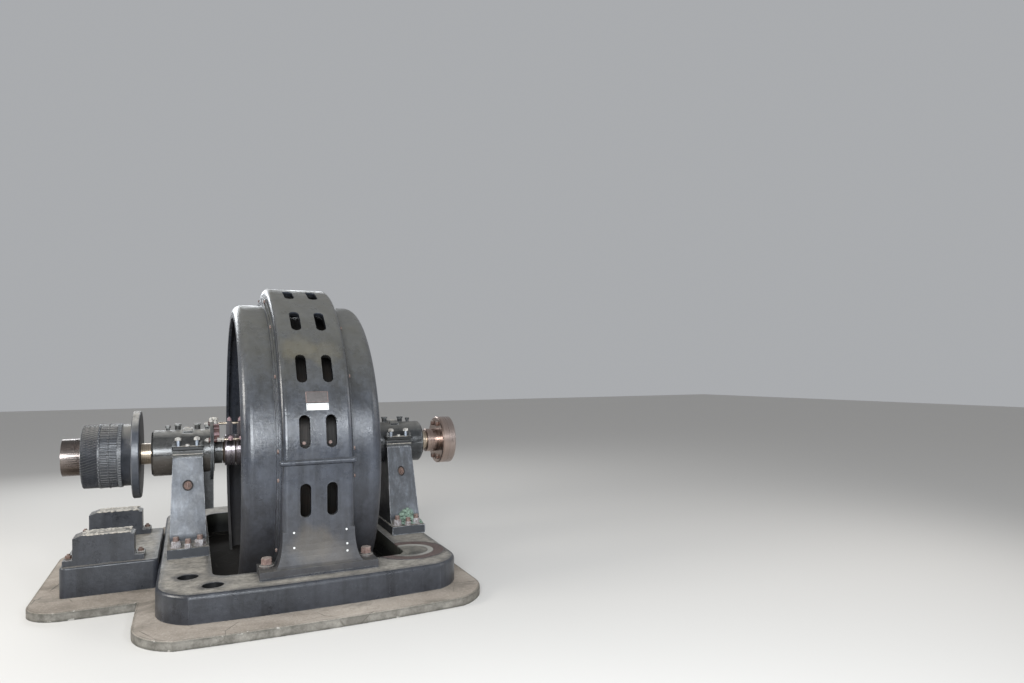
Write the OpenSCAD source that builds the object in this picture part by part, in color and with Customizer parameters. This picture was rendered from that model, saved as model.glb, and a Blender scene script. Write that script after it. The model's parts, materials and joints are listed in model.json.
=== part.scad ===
// Alternator of a small hydroelectric station, with its overhung exciter armature.
// X runs along the shaft towards the coupling, Y towards the back, Z up from the floor.
// The origin lies on the floor under the middle of the stator.

/* [Shaft line] */
// Clearance of the rotor over the pit's floor, which sets the shaft's height
rotor_clearance = 58; // [40:1:180]
// Radius of the shaft in its bearings
shaft_r = 82.5; // [70:0.5:88]
// Radius of the shaft under the slip rings
ring_seat_r = 95; // [90:0.5:100]
// Radius of the shaft in the rotor hub
hub_seat_r = 110; // [102:1:130]
// Reach of the hub's seat on the shaft beyond the hub
hub_seat_over = 60; // [20:5:70]
// Reach of the shaft out of the commutator
shaft_out = 8; // [0:1:20]
// Bevel on the shaft's ends and shoulders
shaft_bevel = 5; // [2:0.5:8]
// Radial clearance of a seat that is pressed or bolted together
seat_gap = 0.2; // [0.1:0.1:0.4]
// Radial clearance of the shaft in its bearing bushes
running_gap = 0.08; // [0.04:0.01:0.1]

/* [Foundation] */
// Height of the concrete plinth
plinth_h = 60; // [40:5:90]
// Ledge of the plinth beyond the bedplate's ends
plinth_ledge_x = 124; // [100:4:200]
// Ledge of the plinth beyond the bedplate's front and back
plinth_ledge_y = 240; // [150:5:300]
// Radius of the plinth's corners
plinth_corner_r = 400; // [200:10:500]
// Radius of the plinth's worn upper edge
plinth_edge_r = 8; // [2:1:16]
// Ledge of the plinth's wing beyond the exciter's bed, at its left end
wing_ledge_x = 170; // [100:5:220]
// Ledge of the wing beyond the exciter's bed, at its front and back
wing_ledge_y = 308; // [200:4:400]
// Radius of the wing's corners
wing_corner_r = 240; // [100:10:400]
// Height of the pit's floor over the room's floor
pit_floor = 20; // [12:1:24]

/* [Bedplate] */
// Bedplate's length along the shaft
bed_x = 2012; // [2012:4:2100]
// Reach of the bedplate in front of the stator's feet, at its middle
bed_reach = 133; // [100:1:200]
// Height of the bedplate casting
bed_h = 182; // [150:2:200]
// Radius of the bedplate's corners
bed_corner_r = 345; // [250:5:400]
// Bow of the bedplate's front and back
bed_bow = 23; // [12:1:40]
// Radius of its rounded top edge
bed_edge_r = 28; // [10:2:40]
// Clearance of the pit's ends from the pedestals
pit_end_gap = 9; // [4:1:20]
// Clearance of the pit's front and back from the stator frame
pit_side_gap = 12; // [8:1:20]
// Radius of the pit's corners
pit_corner_r = 110; // [40:10:200]
// Height of the pads under the stator's feet
pad_t = 16; // [10:1:24]
// Radius of the two round holes in the left front corner
bed_hole_r = 66; // [40:2:80]
// Distance of the rear hole from the bedplate's left end
rear_hole_x = 191; // [160:1:220]
// Distance of the rear hole from the front of the stator's feet
rear_hole_y = 330; // [300:2:360]
// Distance of the front hole from the bedplate's left end
front_hole_x = 338; // [300:1:360]
// Distance of the front hole from the front of the stator's feet
front_hole_y = 67; // [40:1:90]
// Outer radius of the round seat in the right front corner
seat_out_r = 226; // [200:2:232]
// Inner radius of the round seat
seat_in_r = 150; // [120:2:180]
// Depth of the round seat
seat_deep = 6; // [3:1:12]
// Distance of the seat's middle from the bedplate's right end
seat_x = 258; // [256:1:280]
// Distance of the seat's middle from the front of the stator's feet
seat_y = 372; // [320:4:420]

/* [Stator frame] */
// Outer radius of the frame
frame_r = 1330; // [1310:2:1350]
// Width of the frame along the shaft
frame_w = 480; // [460:2:500]
// Thickness of the frame's outer wall
frame_wall = 40; // [25:1:50]
// Thickness of the frame's side plates
side_plate = 30; // [20:1:38]
// Radius of the frame's rounded shoulders
shoulder_r = 36; // [10:2:40]
// Height of the joint between the halves over the shaft line
split_rise = 25; // [0:1:40]
// Radius of the bead that covers the joint
bead_r = 20; // [12:1:28]
// Width of the feet along the shaft
foot_x = 782; // [740:2:820]
// Reach of a foot in front of the frame
foot_reach = 58; // [50:1:80]
// Distance of a foot's inner edge from the pit
foot_inset = 5; // [2:1:12]
// Thickness of a foot's flange
foot_t = 40; // [30:1:50]
// Height of the flare that widens the leg into its foot
flare_h = 233; // [180:1:250]
// Widening of the leg at each side of its foot
flare_x = 60; // [40:2:100]
// Depth of the flare's gussets behind the front wall
gusset_t = 130; // [80:2:134]

/* [Ventilation slots] */
// Width of a slot
slot_w = 72; // [50:1:80]
// Length of a slot
slot_len = 228; // [180:2:250]
// Distance of each slot of a pair from the frame's middle
slot_x = 89; // [80:1:95]
// Angle between rows of slots
slot_angle = 20; // [20, 22.5]
// Angle of the first row over the horizontal
first_angle = 10; // [9:0.5:12]
// Depth of the lowest row under the shaft line
low_slot_drop = 234; // [200:2:250]

/* [End covers] */
// Depth of the end covers under the frame's rim
cover_drop = 140; // [110:2:150]
// Reach of a cover out of the frame
cover_out = 241; // [220:1:250]
// Wall of a cover
cover_wall = 22; // [15:1:30]
// Radius of a cover's rounded outer edge
cover_edge_r = 72; // [40:2:80]
// Width of a cover's lip round its open mouth
cover_lip = 30; // [12:2:40]
// Depth of the larger step of the cover's flange under the frame's rim
step_drop = 68; // [50:1:80]
// Width of the larger step round the smaller one
step_w = 28; // [16:1:34]
// Thickness of each step of the flange
step_t = 12; // [8:1:14]

/* [Stator core and winding] */
// Depth of the laminated core under the frame's rim
core_drop = 230; // [200:2:250]
// Radial depth of the core
core_depth = 200; // [180:2:210]
// Width of the core along the shaft
core_w = 400; // [380:2:410]
// Radial width of the clamp rings beside the core
clamp_w = 110; // [80:2:114]
// Winding loops of each tier on one side of the core
loops = 18; // [12:1:18]
// Thickness of a coil's taped bundle
coil_t = 34; // [20:1:36]
// Span of a coil's loop as a share of the loops' pitch
coil_share = 0.75; // [0.6:0.01:0.8]
// Depth of the coils in the core, from its bore
coil_inset = 30; // [25:1:35]
// Reach of the straight tier out of the core
straight_reach = 150; // [120:2:170]
// Reach of the bent tier out of the core
bent_reach = 78; // [74:2:90]
// Rise of the bent tier over the straight one
bent_rise = 110; // [80:2:120]

/* [Rotor] */
// Air gap between the poles and the core
air_gap = 8; // [6:1:12]
// Number of poles
poles = 24; // [20:2:24]
// Radial thickness of the rim
rim_t = 100; // [80:5:140]
// Width of the rim along the shaft
rim_w = 380; // [340:5:400]
// Outer radius of the hub
hub_r = 225; // [190:5:260]
// Length of the hub along the shaft
hub_w = 440; // [400:5:480]
// Number of arms
arms = 8; // [6:1:8]
// Width of an arm along the shaft
arm_w = 220; // [160:5:300]
// Thickness of an arm
arm_t = 78; // [50:2:90]
// Width of a pole's core around the rim
pole_core_w = 108; // [90:2:114]
// Width of a pole's shoe around the rim
shoe_w = 172; // [150:2:180]
// Radial height of a pole with its shoe
pole_h = 152; // [147:1:172]
// Radial thickness of a pole's shoe
shoe_t = 32; // [24:1:40]
// Length of the poles along the shaft
pole_len = 396; // [370:2:410]
// Thickness of a field coil's copper
field_t = 34; // [24:1:36]
// Clearance of a field coil from its pole's shoe and end
field_gap = 4; // [2:1:8]
// Height of a field coil over the rim
field_lift = 10; // [4:1:16]

/* [Slip rings and brushes] */
// Distance of the slip rings' middle from the stator's middle
rings_x = 462; // [456:1:466]
// Outer radius of the slip rings
ring_r = 126; // [120:1:130]
// Width of a slip ring
ring_w = 72; // [50:1:74]
// Gap between the slip rings
ring_gap = 12; // [10:1:16]
// Wall of the insulating sleeve
sleeve_t = 11; // [8:1:14]
// Reach of the sleeve beyond the slip rings
sleeve_over = 12; // [6:1:14]
// Outer radius of the yoke that carries the brushes
yoke_r = 240; // [230:1:250]
// Thickness of the yoke
yoke_t = 24; // [16:1:28]
// Distance of the yoke from the left housing's inner end
yoke_back = 8; // [4:1:16]
// Depth of the bracket's lower end under the shaft line
yoke_drop = 458; // [400:2:480]
// Width of the bracket across the shaft
yoke_leg_w = 170; // [120:2:220]
// Radius of a brush rod
rod_r = 10; // [8:0.5:12]
// Distance of the brush rods from the shaft line
rod_orbit_r = 220; // [212:1:222]
// Angle of the lower brush rod over the horizontal
low_rod_angle = 28; // [20:1:40]
// Distance of the rods' ends from the stator's middle
rod_end = 430; // [424:1:436]
// Clearance of the brushes over the rings
brush_gap = 0.5; // [0.3:0.1:1]
// Width of a brush around the ring
brush_w = 34; // [24:1:40]
// Depth of a brush holder's seat for its brush, under the ring's surface
holder_dip = 10; // [4:1:14]
// Reach of a brush holder over its rod
holder_over = 10; // [4:1:14]

/* [Bearings] */
// Distance of the left pedestal from the stator's middle
left_x = 815; // [810:1:820]
// Distance of the right pedestal from the stator's middle
right_x = 865; // [855:1:875]
// Radius of the bearing housings
housing_r = 180; // [170:1:186]
// Reach of a housing towards the stator from its pedestal
housing_in = 195; // [185:1:205]
// Reach of the left housing away from the stator
left_out = 256; // [250:1:272]
// Reach of the right housing away from the stator
right_out = 246; // [220:1:250]
// Reach of the right housing towards the stator
right_in = 226; // [200:1:240]
// Width of the rounding on a housing's ends
housing_edge = 14; // [6:1:20]
// Length of the spigot on the left housing's inner end
spigot = 60; // [40:2:64]
// Radius of the spigot
spigot_r = 106; // [102:1:116]
// Outer radius of the bearing bushes
bush_r = 115; // [108:1:120]
// Length of a bush
bush_len = 300; // [260:2:310]
// Clearance of the housing's end openings round the shaft
end_gap = 12; // [8:1:15]
// Half width of a pedestal at its top, along the shaft
column_top_x = 106; // [96:1:112]
// Half width of a pedestal at its bottom, along the shaft
column_low_x = 126; // [118:1:132]
// Half depth of a pedestal at its top, across the shaft
column_top_y = 239; // [225:1:250]
// Half depth of a pedestal at its bottom, across the shaft
column_low_y = 395; // [370:1:410]
// Height of the pedestal's lower end over its flange
column_toe = 78; // [60:1:90]
// Half width of the base flange along the shaft
base_x = 141; // [136:1:142]
// Half depth of the base flange across the shaft
base_y = 528; // [500:1:540]
// Thickness of the base flange
base_t = 70; // [50:1:80]
// Thickness of the lower half of the bearing's joint flange
joint_low_t = 16; // [10:1:24]
// Thickness of the upper half of the joint flange
joint_high_t = 38; // [28:1:46]
// Bevel on the upper half's top edge
joint_bevel = 8; // [4:1:14]
// Reach of the joint flange over the column
joint_over = 4; // [2:1:8]
// Depth of the groove under the joint flange
groove_t = 7; // [4:1:12]
// Inset of the groove in the column's faces
groove_in = 4; // [2:1:8]
// Radius of the oil lids
lid_r = 28; // [24:1:32]
// Thickness of an oil lid
lid_t = 13; // [8:1:18]
// Distance of each oil lid from the pedestal's middle
lid_x = 71; // [60:1:74]
// Height of the bosses under the oil lids
boss_h = 34; // [20:1:40]
// Inset of a boss under its lid
boss_in = 6; // [3:1:9]
// Radius of the plugs beside the lids
plug_r = 20; // [14:1:24]
// Height of the plugs
plug_h = 18; // [12:1:26]
// Radius of the bosses under the plugs
plug_boss_r = 14; // [10:1:16]
// Rise of the pad between the lids
cap_pad_rise = 16; // [8:1:24]
// Half length of the pad along the shaft
cap_pad_x = 36; // [24:1:40]
// Half width of the pad across the shaft
cap_pad_y = 90; // [60:2:120]

/* [Exciter] */
// Length of the commutator's bars
commutator_w = 135; // [110:1:150]
// Left end of the armature's winding
armature_left = 1533; // [1524:1:1548]
// Left end of the armature's slotted core
exciter_core_left = 1408; // [1400:1:1416]
// Right end of the armature's slotted core
exciter_core_right = 1297; // [1290:1:1304]
// Right end of the winding, at the flange
armature_right = 1199; // [1192:1:1206]
// Thickness of the flange
exciter_flange_t = 55; // [40:1:60]
// Width of the rounding on the flange's rim
exciter_flange_edge = 6; // [3:1:10]
// Radius of the armature
armature_r = 245; // [230:1:260]
// Depth of the winding heads under the armature's surface
head_drop = 6; // [3:1:12]
// Width of the rounding on the left winding head
head_edge = 10; // [6:1:30]
// Radius of the commutator
commutator_r = 140; // [130:1:150]
// Height of the risers over the commutator's bars
riser_h = 12; // [6:1:20]
// Thickness of the risers
riser_t = 12; // [6:1:16]
// Radius of the flange
exciter_flange_r = 339; // [320:1:350]
// Slots in the armature's core
exciter_slots = 60; // [40:1:72]
// Width of an armature slot
exciter_slot_w = 9; // [6:0.5:11]
// Depth of an armature slot under the surface
exciter_slot_d = 7; // [4:0.5:10]
// Width of the left binding band
band_left_w = 14; // [10:1:20]
// Width of the right binding band
band_right_w = 28; // [20:1:34]
// Distance of the binding bands from the core
band_gap = 1; // [0.5:0.5:4]
// Bars in the commutator
commutator_bars = 90; // [60:1:100]
// Width and depth of the grooves between the bars
groove_w = 1.6; // [1:0.1:2.4]

/* [Exciter bed] */
// Left end of the bed
exciter_bed_left = 1620; // [1612:1:1650]
// Joint between the bed and the bedplate
exciter_bed_joint = 2; // [1:1:6]
// Width across the shaft
exciter_bed_y = 1120; // [1080:2:1180]
// Height of the bed casting
exciter_bed_h = 208; // [190:1:230]
// Radius of the bed's corners
exciter_bed_corner_r = 40; // [20:1:60]
// Radius of the bed's rounded top edge
exciter_bed_edge_r = 12; // [6:1:16]
// Left end of the feet
exciter_foot_left = 1543; // [1520:1:1560]
// Right end of the feet
exciter_foot_right = 1163; // [1150:1:1190]
// Distance from the shaft to the outer face of a foot
exciter_foot_outer = 520; // [500:1:540]
// Distance from the shaft to the inner face of a foot
exciter_foot_inner = 350; // [330:1:370]
// Height of a foot
exciter_foot_h = 207; // [180:1:230]
// Length of the slopes at the ends of a foot's top
shoulder_x = 60; // [30:2:90]
// Drop of the slopes at a foot's ends
shoulder_drop = 20; // [10:1:36]
// Thickness of a foot's flange
exciter_toe_t = 38; // [24:1:50]
// Reach of a foot's flange at each end
exciter_toe = 62; // [40:1:70]

/* [Coupling] */
// Left face of the coupling's disc
coupling_left = 1281; // [1270:1:1290]
// Thickness of the coupling's disc
coupling_t = 125; // [110:1:135]
// Distance of the shaft's end behind the disc's face
coupling_recess = 12; // [2:1:20]
// Radius of the coupling's disc
coupling_r = 213; // [205:1:220]
// Bevel on the coupling's edges
coupling_bevel = 6; // [3:0.5:10]
// Radius of the coupling's neck
coupling_neck_r = 104; // [98:1:118]
// Length of the coupling's neck
coupling_neck = 110; // [50:2:140]
// Diameter of the coupling's bolt circle
bolt_circle_d = 330; // [300:2:350]
// Radius of the coupling's bolt holes
bolt_hole_r = 17.5; // [14:0.5:20]
// Number of the coupling's bolt holes
bolt_holes = 8; // [6:1:10]

/* [Hidden] */

turn_fn = 144;
bow_fn = 1440;
small_fn = 36;
far = 5000;
eps = 1;
half_w = frame_w / 2;
bed_top = plinth_h + bed_h;
foot_z = bed_top + pad_t;
foot_top = foot_z + foot_t;
flare_top = foot_top + flare_h;

core_r = frame_r - core_drop;
core_seat_r = core_r + seat_gap;
bore_r = core_r - core_depth;
clamp_in_r = core_r - clamp_w;
coil_out_r = bore_r + coil_inset;
bent_r = coil_out_r + bent_rise;
pole_face_r = bore_r - air_gap;
axle_h = pit_floor + rotor_clearance + pole_face_r;
split_z = axle_h + split_rise;
rim_r = pole_face_r - pole_h;
rim_in_r = rim_r - rim_t;

pit_x = 2 * (left_x - base_x - pit_end_gap);
pit_y = 2 * (sqrt(pow(frame_r, 2) - pow(axle_h - foot_z, 2)) + pit_side_gap);
foot_inner = pit_y / 2 + foot_inset;
foot_front = frame_r + foot_reach;
bed_y = 2 * (foot_front + bed_reach);
plinth_x = bed_x + 2 * plinth_ledge_x;
plinth_y = bed_y + 2 * plinth_ledge_y;

cover_r = frame_r - cover_drop;
cover_reach = half_w + cover_out;
cover_mouth_r = cover_r - cover_edge_r - cover_lip;
step_big_r = frame_r - step_drop;
step_small_r = step_big_r - step_w;

yoke_foot_z = axle_h - yoke_drop;
joint_low = axle_h - joint_low_t;
column_top = joint_low - groove_t;
column_foot = bed_top + base_t;
coupling_right = coupling_left + coupling_t;
commutator_left = armature_left + commutator_w;
shaft_left = commutator_left + shaft_out;
shaft_right = coupling_right - coupling_recess;
exciter_flange_right = armature_right - exciter_flange_t;
exciter_bed_top = plinth_h + exciter_bed_h;

// Points of an arc about a centre, from one angle to another
function arc(cx, cy, r, from, to, n = 6) =
    [for (i = [0:n]) let (a = from + (to - from) * i / n) [cx + r * cos(a), cy + r * sin(a)]];

// A ring's cross-section between two radii and two places along the shaft
function band(r_in, r_out, x_from, x_to) =
    [[r_in, x_from], [r_out, x_from], [r_out, x_to], [r_in, x_to]];

// An outline of [radius, place along the shaft], turned round the shaft line
module spun(outline, fn = turn_fn) {
    translate([0, 0, axle_h])
        rotate([0, 90, 0])
            rotate_extrude($fn = fn)
                polygon(outline);
}

// Children built upward from the shaft line, turned to an angle over the front horizontal
module at_angle(a) {
    translate([0, 0, axle_h])
        rotate([90 - a, 0, 0])
            children();
}

// An upright outline of [Y, Z], extruded along the shaft
module along_x(from, to) {
    translate([from, 0, 0])
        rotate([90, 0, 90])
            linear_extrude(to - from)
                children();
}

// An upright outline of [X, Z], extruded across the shaft
module along_y(from, to) {
    translate([0, to, 0])
        rotate([90, 0, 0])
            linear_extrude(to - from)
                children();
}

// A box from its lowest to its highest corner
module block(low, high) {
    translate(low)
        cube(high - low);
}

// What lies over a height
module over(z) {
    block([-far, -far, z], [far, far, far]);
}

// The edge of a slab with a rounded top, out to a reach
function slab_edge(reach, h, edge) =
    concat([[0, 0], [reach, 0]], arc(reach - edge, h - edge, edge, 0, 90, 4), [[0, h]]);

// A slab with round corners and a rounded top edge, about the middle of a rectangle
module soft_slab(x, y, h, corner, edge) {
    inner_x = x / 2 - corner;
    inner_y = y / 2 - corner;
    for (sx = [-1, 1])
        for (sy = [-1, 1])
            translate([sx * inner_x, sy * inner_y, 0])
                rotate_extrude($fn = 72)
                    polygon(slab_edge(corner, h, edge));
    for (side = [0, 1])
        mirror([0, side, 0])
            translate([-inner_x, inner_y, 0])
                rotate([90, 0, 90])
                    linear_extrude(2 * inner_x)
                        polygon(slab_edge(corner, h, edge));
    for (side = [0, 1])
        mirror([side, 0, 0])
            translate([inner_x, inner_y, 0])
                rotate([90, 0, 0])
                    linear_extrude(2 * inner_y)
                        polygon(slab_edge(corner, h, edge));
    block([-inner_x, -inner_y, 0], [inner_x, inner_y, h]);
}

// The pit's outline, cut upward from a height
module pit(from) {
    corner = pit_corner_r;
    translate([0, 0, from])
        linear_extrude(far) {
            square([pit_x - 2 * corner, pit_y], center = true);
            square([pit_x, pit_y - 2 * corner], center = true);
            for (sx = [-1, 1])
                for (sy = [-1, 1])
                    translate([sx * (pit_x / 2 - corner), sy * (pit_y / 2 - corner)])
                        circle(corner, $fn = 48);
        }
}

// Concrete plinth with a wing under the exciter
module plinth() {
    wing_right = bed_x / 2;
    wing_length = exciter_bed_left + wing_ledge_x + wing_right;
    color("darkgray")
        difference() {
            union() {
                bowed_slab(plinth_x, plinth_y, plinth_h, plinth_corner_r, plinth_edge_r, bed_bow);
                translate([wing_right - wing_length / 2, 0, 0])
                    soft_slab(wing_length, exciter_bed_y + 2 * wing_ledge_y, plinth_h,
                        wing_corner_r, plinth_edge_r);
            }
            pit(pit_floor);
        }
}

// A slab with round corners and a rounded top edge, whose front and back bow out
module bowed_slab(x, y, h, corner, edge, bow) {
    chord = x / 2 - corner;
    bow_r = (pow(chord, 2) + pow(bow, 2)) / (2 * bow);
    intersection() {
        soft_slab(x, y, h, corner, edge);
        translate([0, y / 2 - bow_r, 0])
            rotate_extrude($fn = bow_fn)
                polygon(slab_edge(bow_r, h, edge));
        translate([0, bow_r - y / 2, 0])
            rotate_extrude($fn = bow_fn)
                polygon(slab_edge(bow_r, h, edge));
    }
}

// Cast bedplate round the pit, with pads for the stator's feet
module bedplate() {
    color("dimgray")
        difference() {
            union() {
                translate([0, 0, plinth_h])
                    bowed_slab(bed_x, bed_y, bed_h, bed_corner_r, bed_edge_r, bed_bow);
                for (side = [0, 1])
                    mirror([0, side, 0])
                        block([-foot_x / 2, -foot_front, bed_top - eps],
                            [foot_x / 2, -foot_inner, foot_z]);
            }
            pit(0);
            for (place = [[rear_hole_x, rear_hole_y], [front_hole_x, front_hole_y]])
                translate([place[0] - bed_x / 2, place[1] - foot_front, plinth_h + bed_h / 2])
                    cylinder(h = bed_h, r = bed_hole_r, $fn = small_fn);
            translate([bed_x / 2 - seat_x, seat_y - foot_front, bed_top - seat_deep])
                difference() {
                    cylinder(h = bed_h, r = seat_out_r, $fn = 72);
                    cylinder(h = bed_h, r = seat_in_r, $fn = 72);
                }
        }
}

// The frame's full cross-section, with round shoulders
frame_section = concat([[core_seat_r, -half_w]],
    arc(frame_r - shoulder_r, -half_w + shoulder_r, shoulder_r, -90, 0, 5),
    arc(frame_r - shoulder_r, half_w - shoulder_r, shoulder_r, 0, 90, 5),
    [[core_seat_r, half_w]]);

// A slot through the outer wall, built upward from the shaft line
module slot_cutter(x) {
    ends = (slot_len - slot_w) / 2;
    translate([x, 0, frame_r - 2 * frame_wall])
        linear_extrude(4 * frame_wall) {
            square([slot_w, 2 * ends], center = true);
            for (end = [-ends, ends])
                translate([0, end])
                    circle(slot_w / 2, $fn = small_fn);
        }
}

// Upper half of the stator frame
module stator_frame_upper() {
    color("slategray")
        difference() {
            intersection() {
                spun(frame_section);
                over(split_z);
            }
            spun(band(core_seat_r - eps, frame_r - frame_wall, side_plate - half_w, half_w - side_plate));
            for (a = [first_angle:slot_angle:180 - first_angle])
                for (x = [-slot_x, slot_x])
                    at_angle(a)
                        slot_cutter(x);
        }
}

// Front leg of the lower frame, from its foot to the joint
module leg() {
    leg_in = foot_inner - gusset_t;
    wall_front = frame_r - shoulder_r;
    flare_end = half_w + flare_x;
    translate([0, 0, foot_z])
        linear_extrude(split_z - foot_z)
            polygon(concat([[-half_w, -leg_in]],
                arc(-half_w + shoulder_r, -wall_front, shoulder_r, 180, 270, 5),
                arc(half_w - shoulder_r, -wall_front, shoulder_r, 270, 360, 5),
                [[half_w, -leg_in]]));
    intersection() {
        along_y(-foot_front, gusset_t - frame_r)
            polygon(concat([[-half_w, flare_top]],
                [for (t = [0:11.25:90]) [-flare_end + flare_x * cos(t), flare_top - flare_h * sin(t)]],
                [for (t = [90:-11.25:0]) [flare_end - flare_x * cos(t), flare_top - flare_h * sin(t)]]));
        along_x(-foot_x / 2, foot_x / 2)
            polygon(concat([[gusset_t - frame_r, flare_top]],
                [for (t = [0:11.25:90]) [-foot_front + foot_reach * cos(t), flare_top - flare_h * sin(t)]],
                [[gusset_t - frame_r, foot_top]]));
    }
    block([-foot_x / 2, -foot_front, foot_z], [foot_x / 2, -foot_inner, foot_top]);
}

// Lower half of the stator frame, down to the pit's floor, with a leg at the front and back
module stator_frame_lower() {
    cavity_in = foot_inner - gusset_t - eps;
    color("slategray")
        difference() {
            union() {
                difference() {
                    intersection() {
                        spun(frame_section);
                        over(pit_floor);
                    }
                    over(split_z);
                }
                for (side = [0, 1])
                    mirror([0, side, 0])
                        leg();
            }
            spun(band(0, core_seat_r, -half_w - eps, half_w + eps));
            spun(band(core_seat_r - eps, frame_r - frame_wall, side_plate - half_w, half_w - side_plate));
            for (side = [0, 1])
                mirror([0, side, 0])
                    block([side_plate - half_w, frame_wall - frame_r, foot_top],
                        [half_w - side_plate, -cavity_in, split_z + eps]);
            for (side = [0, 1])
                mirror([0, side, 0])
                    for (x = [-slot_x, slot_x])
                        translate([0, 0, -low_slot_drop])
                            at_angle(0)
                                slot_cutter(x);
        }
}

// Half-round beads over the joint between the halves, front and back
module split_beads() {
    color("slategray")
        for (side = [0, 1])
            mirror([0, side, 0])
                difference() {
                    translate([0, -frame_r, split_z]) {
                        rotate([0, 90, 0])
                            cylinder(h = frame_w, r = bead_r, center = true, $fn = small_fn);
                        for (x = [-half_w, half_w])
                            translate([x, 0, 0])
                                sphere(bead_r, $fn = small_fn);
                    }
                    block([-far, -frame_r - seat_gap, 0], [far, 0, far]);
                }
}

// The right cover's cross-section, from its flange to its mouth
cover_bend = cover_reach - cover_edge_r;
cover_section = concat([[cover_r - cover_wall, half_w], [step_big_r, half_w],
        [step_big_r, half_w + step_t], [step_small_r, half_w + step_t],
        [step_small_r, half_w + 2 * step_t], [cover_r, half_w + 2 * step_t]],
    arc(cover_r - cover_edge_r, cover_bend, cover_edge_r, 0, 90, 7),
    [[cover_mouth_r, cover_reach], [cover_mouth_r, cover_reach - cover_wall]],
    arc(cover_r - cover_edge_r, cover_bend, cover_edge_r - cover_wall, 90, 0, 7));

// End cover over the winding, open in the middle
module end_cover(side) {
    color("slategray")
        mirror([side, 0, 0])
            intersection() {
                spun(cover_section);
                over(pit_floor);
            }
}

module end_cover_left() {
    end_cover(1);
}

module end_cover_right() {
    end_cover(0);
}

// Laminated core
module stator_core() {
    color("darkslategray")
        intersection() {
            spun(band(bore_r, core_r, -core_w / 2, core_w / 2));
            over(pit_floor);
        }
}

// Rings that clamp the core and seat it in the frame
module core_clamp_rings() {
    color("dimgray")
        intersection() {
            union() {
                spun(band(clamp_in_r, core_r, core_w / 2, half_w));
                spun(band(clamp_in_r, core_r, -half_w, -core_w / 2));
            }
            over(pit_floor);
        }
}

// Part of a ring's cross-section, turned through the span of one coil
module coil_arc(r_in, r_out, x_from, x_to, span) {
    translate([0, 0, axle_h])
        rotate([0, 90, 0])
            rotate([0, 0, -span / 2])
                rotate_extrude(angle = span, $fn = turn_fn)
                    polygon(band(r_in, r_out, x_from, x_to));
}

// Coil ends on one side of the core: one tier straight out, one tier bent away from the bore
module winding_side() {
    tier_pitch = 360 / loops;
    span = tier_pitch * coil_share;
    face = core_w / 2;
    intersection() {
        for (i = [0:loops - 1]) {
            at_turn(i * tier_pitch)
                coil_arc(coil_out_r - coil_t / 2, coil_out_r + coil_t / 2,
                    face + straight_reach - coil_t, face + straight_reach, span);
            for (leg = [-0.5, 0.5])
                at_turn(i * tier_pitch + leg * span)
                    translate([0, 0, axle_h])
                        block([face, -coil_t / 2, coil_out_r - coil_t / 2],
                            [face + straight_reach, coil_t / 2, coil_out_r + coil_t / 2]);
            at_turn((i + 0.5) * tier_pitch)
                coil_arc(bent_r - coil_t, bent_r,
                    face + bent_reach - coil_t, face + bent_reach, span);
            for (leg = [-0.5, 0.5])
                at_turn((i + 0.5) * tier_pitch + leg * span)
                    translate([0, 0, axle_h]) {
                        block([face, -coil_t / 2, coil_out_r - coil_t / 2],
                            [face + bent_reach, coil_t / 2, coil_out_r + coil_t / 2]);
                        block([face + bent_reach - coil_t, -coil_t / 2, coil_out_r],
                            [face + bent_reach, coil_t / 2, bent_r]);
                    }
        }
        over(pit_floor);
    }
}

// Children turned round the shaft line from the top
module at_turn(a) {
    translate([0, 0, axle_h])
        rotate([a, 0, 0])
            translate([0, 0, -axle_h])
                children();
}

module stator_winding_left() {
    color("saddlebrown")
        mirror([1, 0, 0])
            winding_side();
}

module stator_winding_right() {
    color("saddlebrown")
        winding_side();
}

// Stepped shaft, from inside the commutator to inside the coupling
module shaft() {
    seat_end = hub_w / 2 + hub_seat_over;
    ring_end = rings_x + ring_w + ring_gap / 2 + sleeve_over;
    b = shaft_bevel;
    color("silver")
        spun([[0, -shaft_left], [shaft_r - b, -shaft_left], [shaft_r, b - shaft_left],
            [shaft_r, -ring_end - b], [ring_seat_r, -ring_end], [ring_seat_r, -seat_end - b],
            [hub_seat_r, -seat_end], [hub_seat_r, seat_end], [ring_seat_r, seat_end + b],
            [ring_seat_r, ring_end], [shaft_r, ring_end + b], [shaft_r, shaft_right - b],
            [shaft_r - b, shaft_right], [0, shaft_right]]);
}

// Hub of the rotor
module rotor_hub() {
    b = 4 * shaft_bevel;
    color("dimgray")
        spun([[hub_seat_r + seat_gap, -hub_w / 2], [hub_r - b, -hub_w / 2], [hub_r, b - hub_w / 2],
            [hub_r, hub_w / 2 - b], [hub_r - b, hub_w / 2], [hub_seat_r + seat_gap, hub_w / 2]]);
}

// Oval arms between the hub and the rim
module rotor_arms() {
    color("dimgray")
        intersection() {
            for (i = [0:arms - 1])
                at_turn(i * 360 / arms)
                    translate([0, 0, axle_h])
                        linear_extrude(rim_r) {
                            square([arm_w - arm_t, arm_t], center = true);
                            for (end = [-1, 1])
                                translate([end * (arm_w - arm_t) / 2, 0])
                                    circle(arm_t / 2, $fn = small_fn);
                        }
            spun(band(hub_r + seat_gap, rim_in_r - seat_gap, -rim_w, rim_w));
        }
}

// Rim that carries the poles
module rotor_rim() {
    color("dimgray")
        spun(band(rim_in_r, rim_r, -rim_w / 2, rim_w / 2));
}

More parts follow.
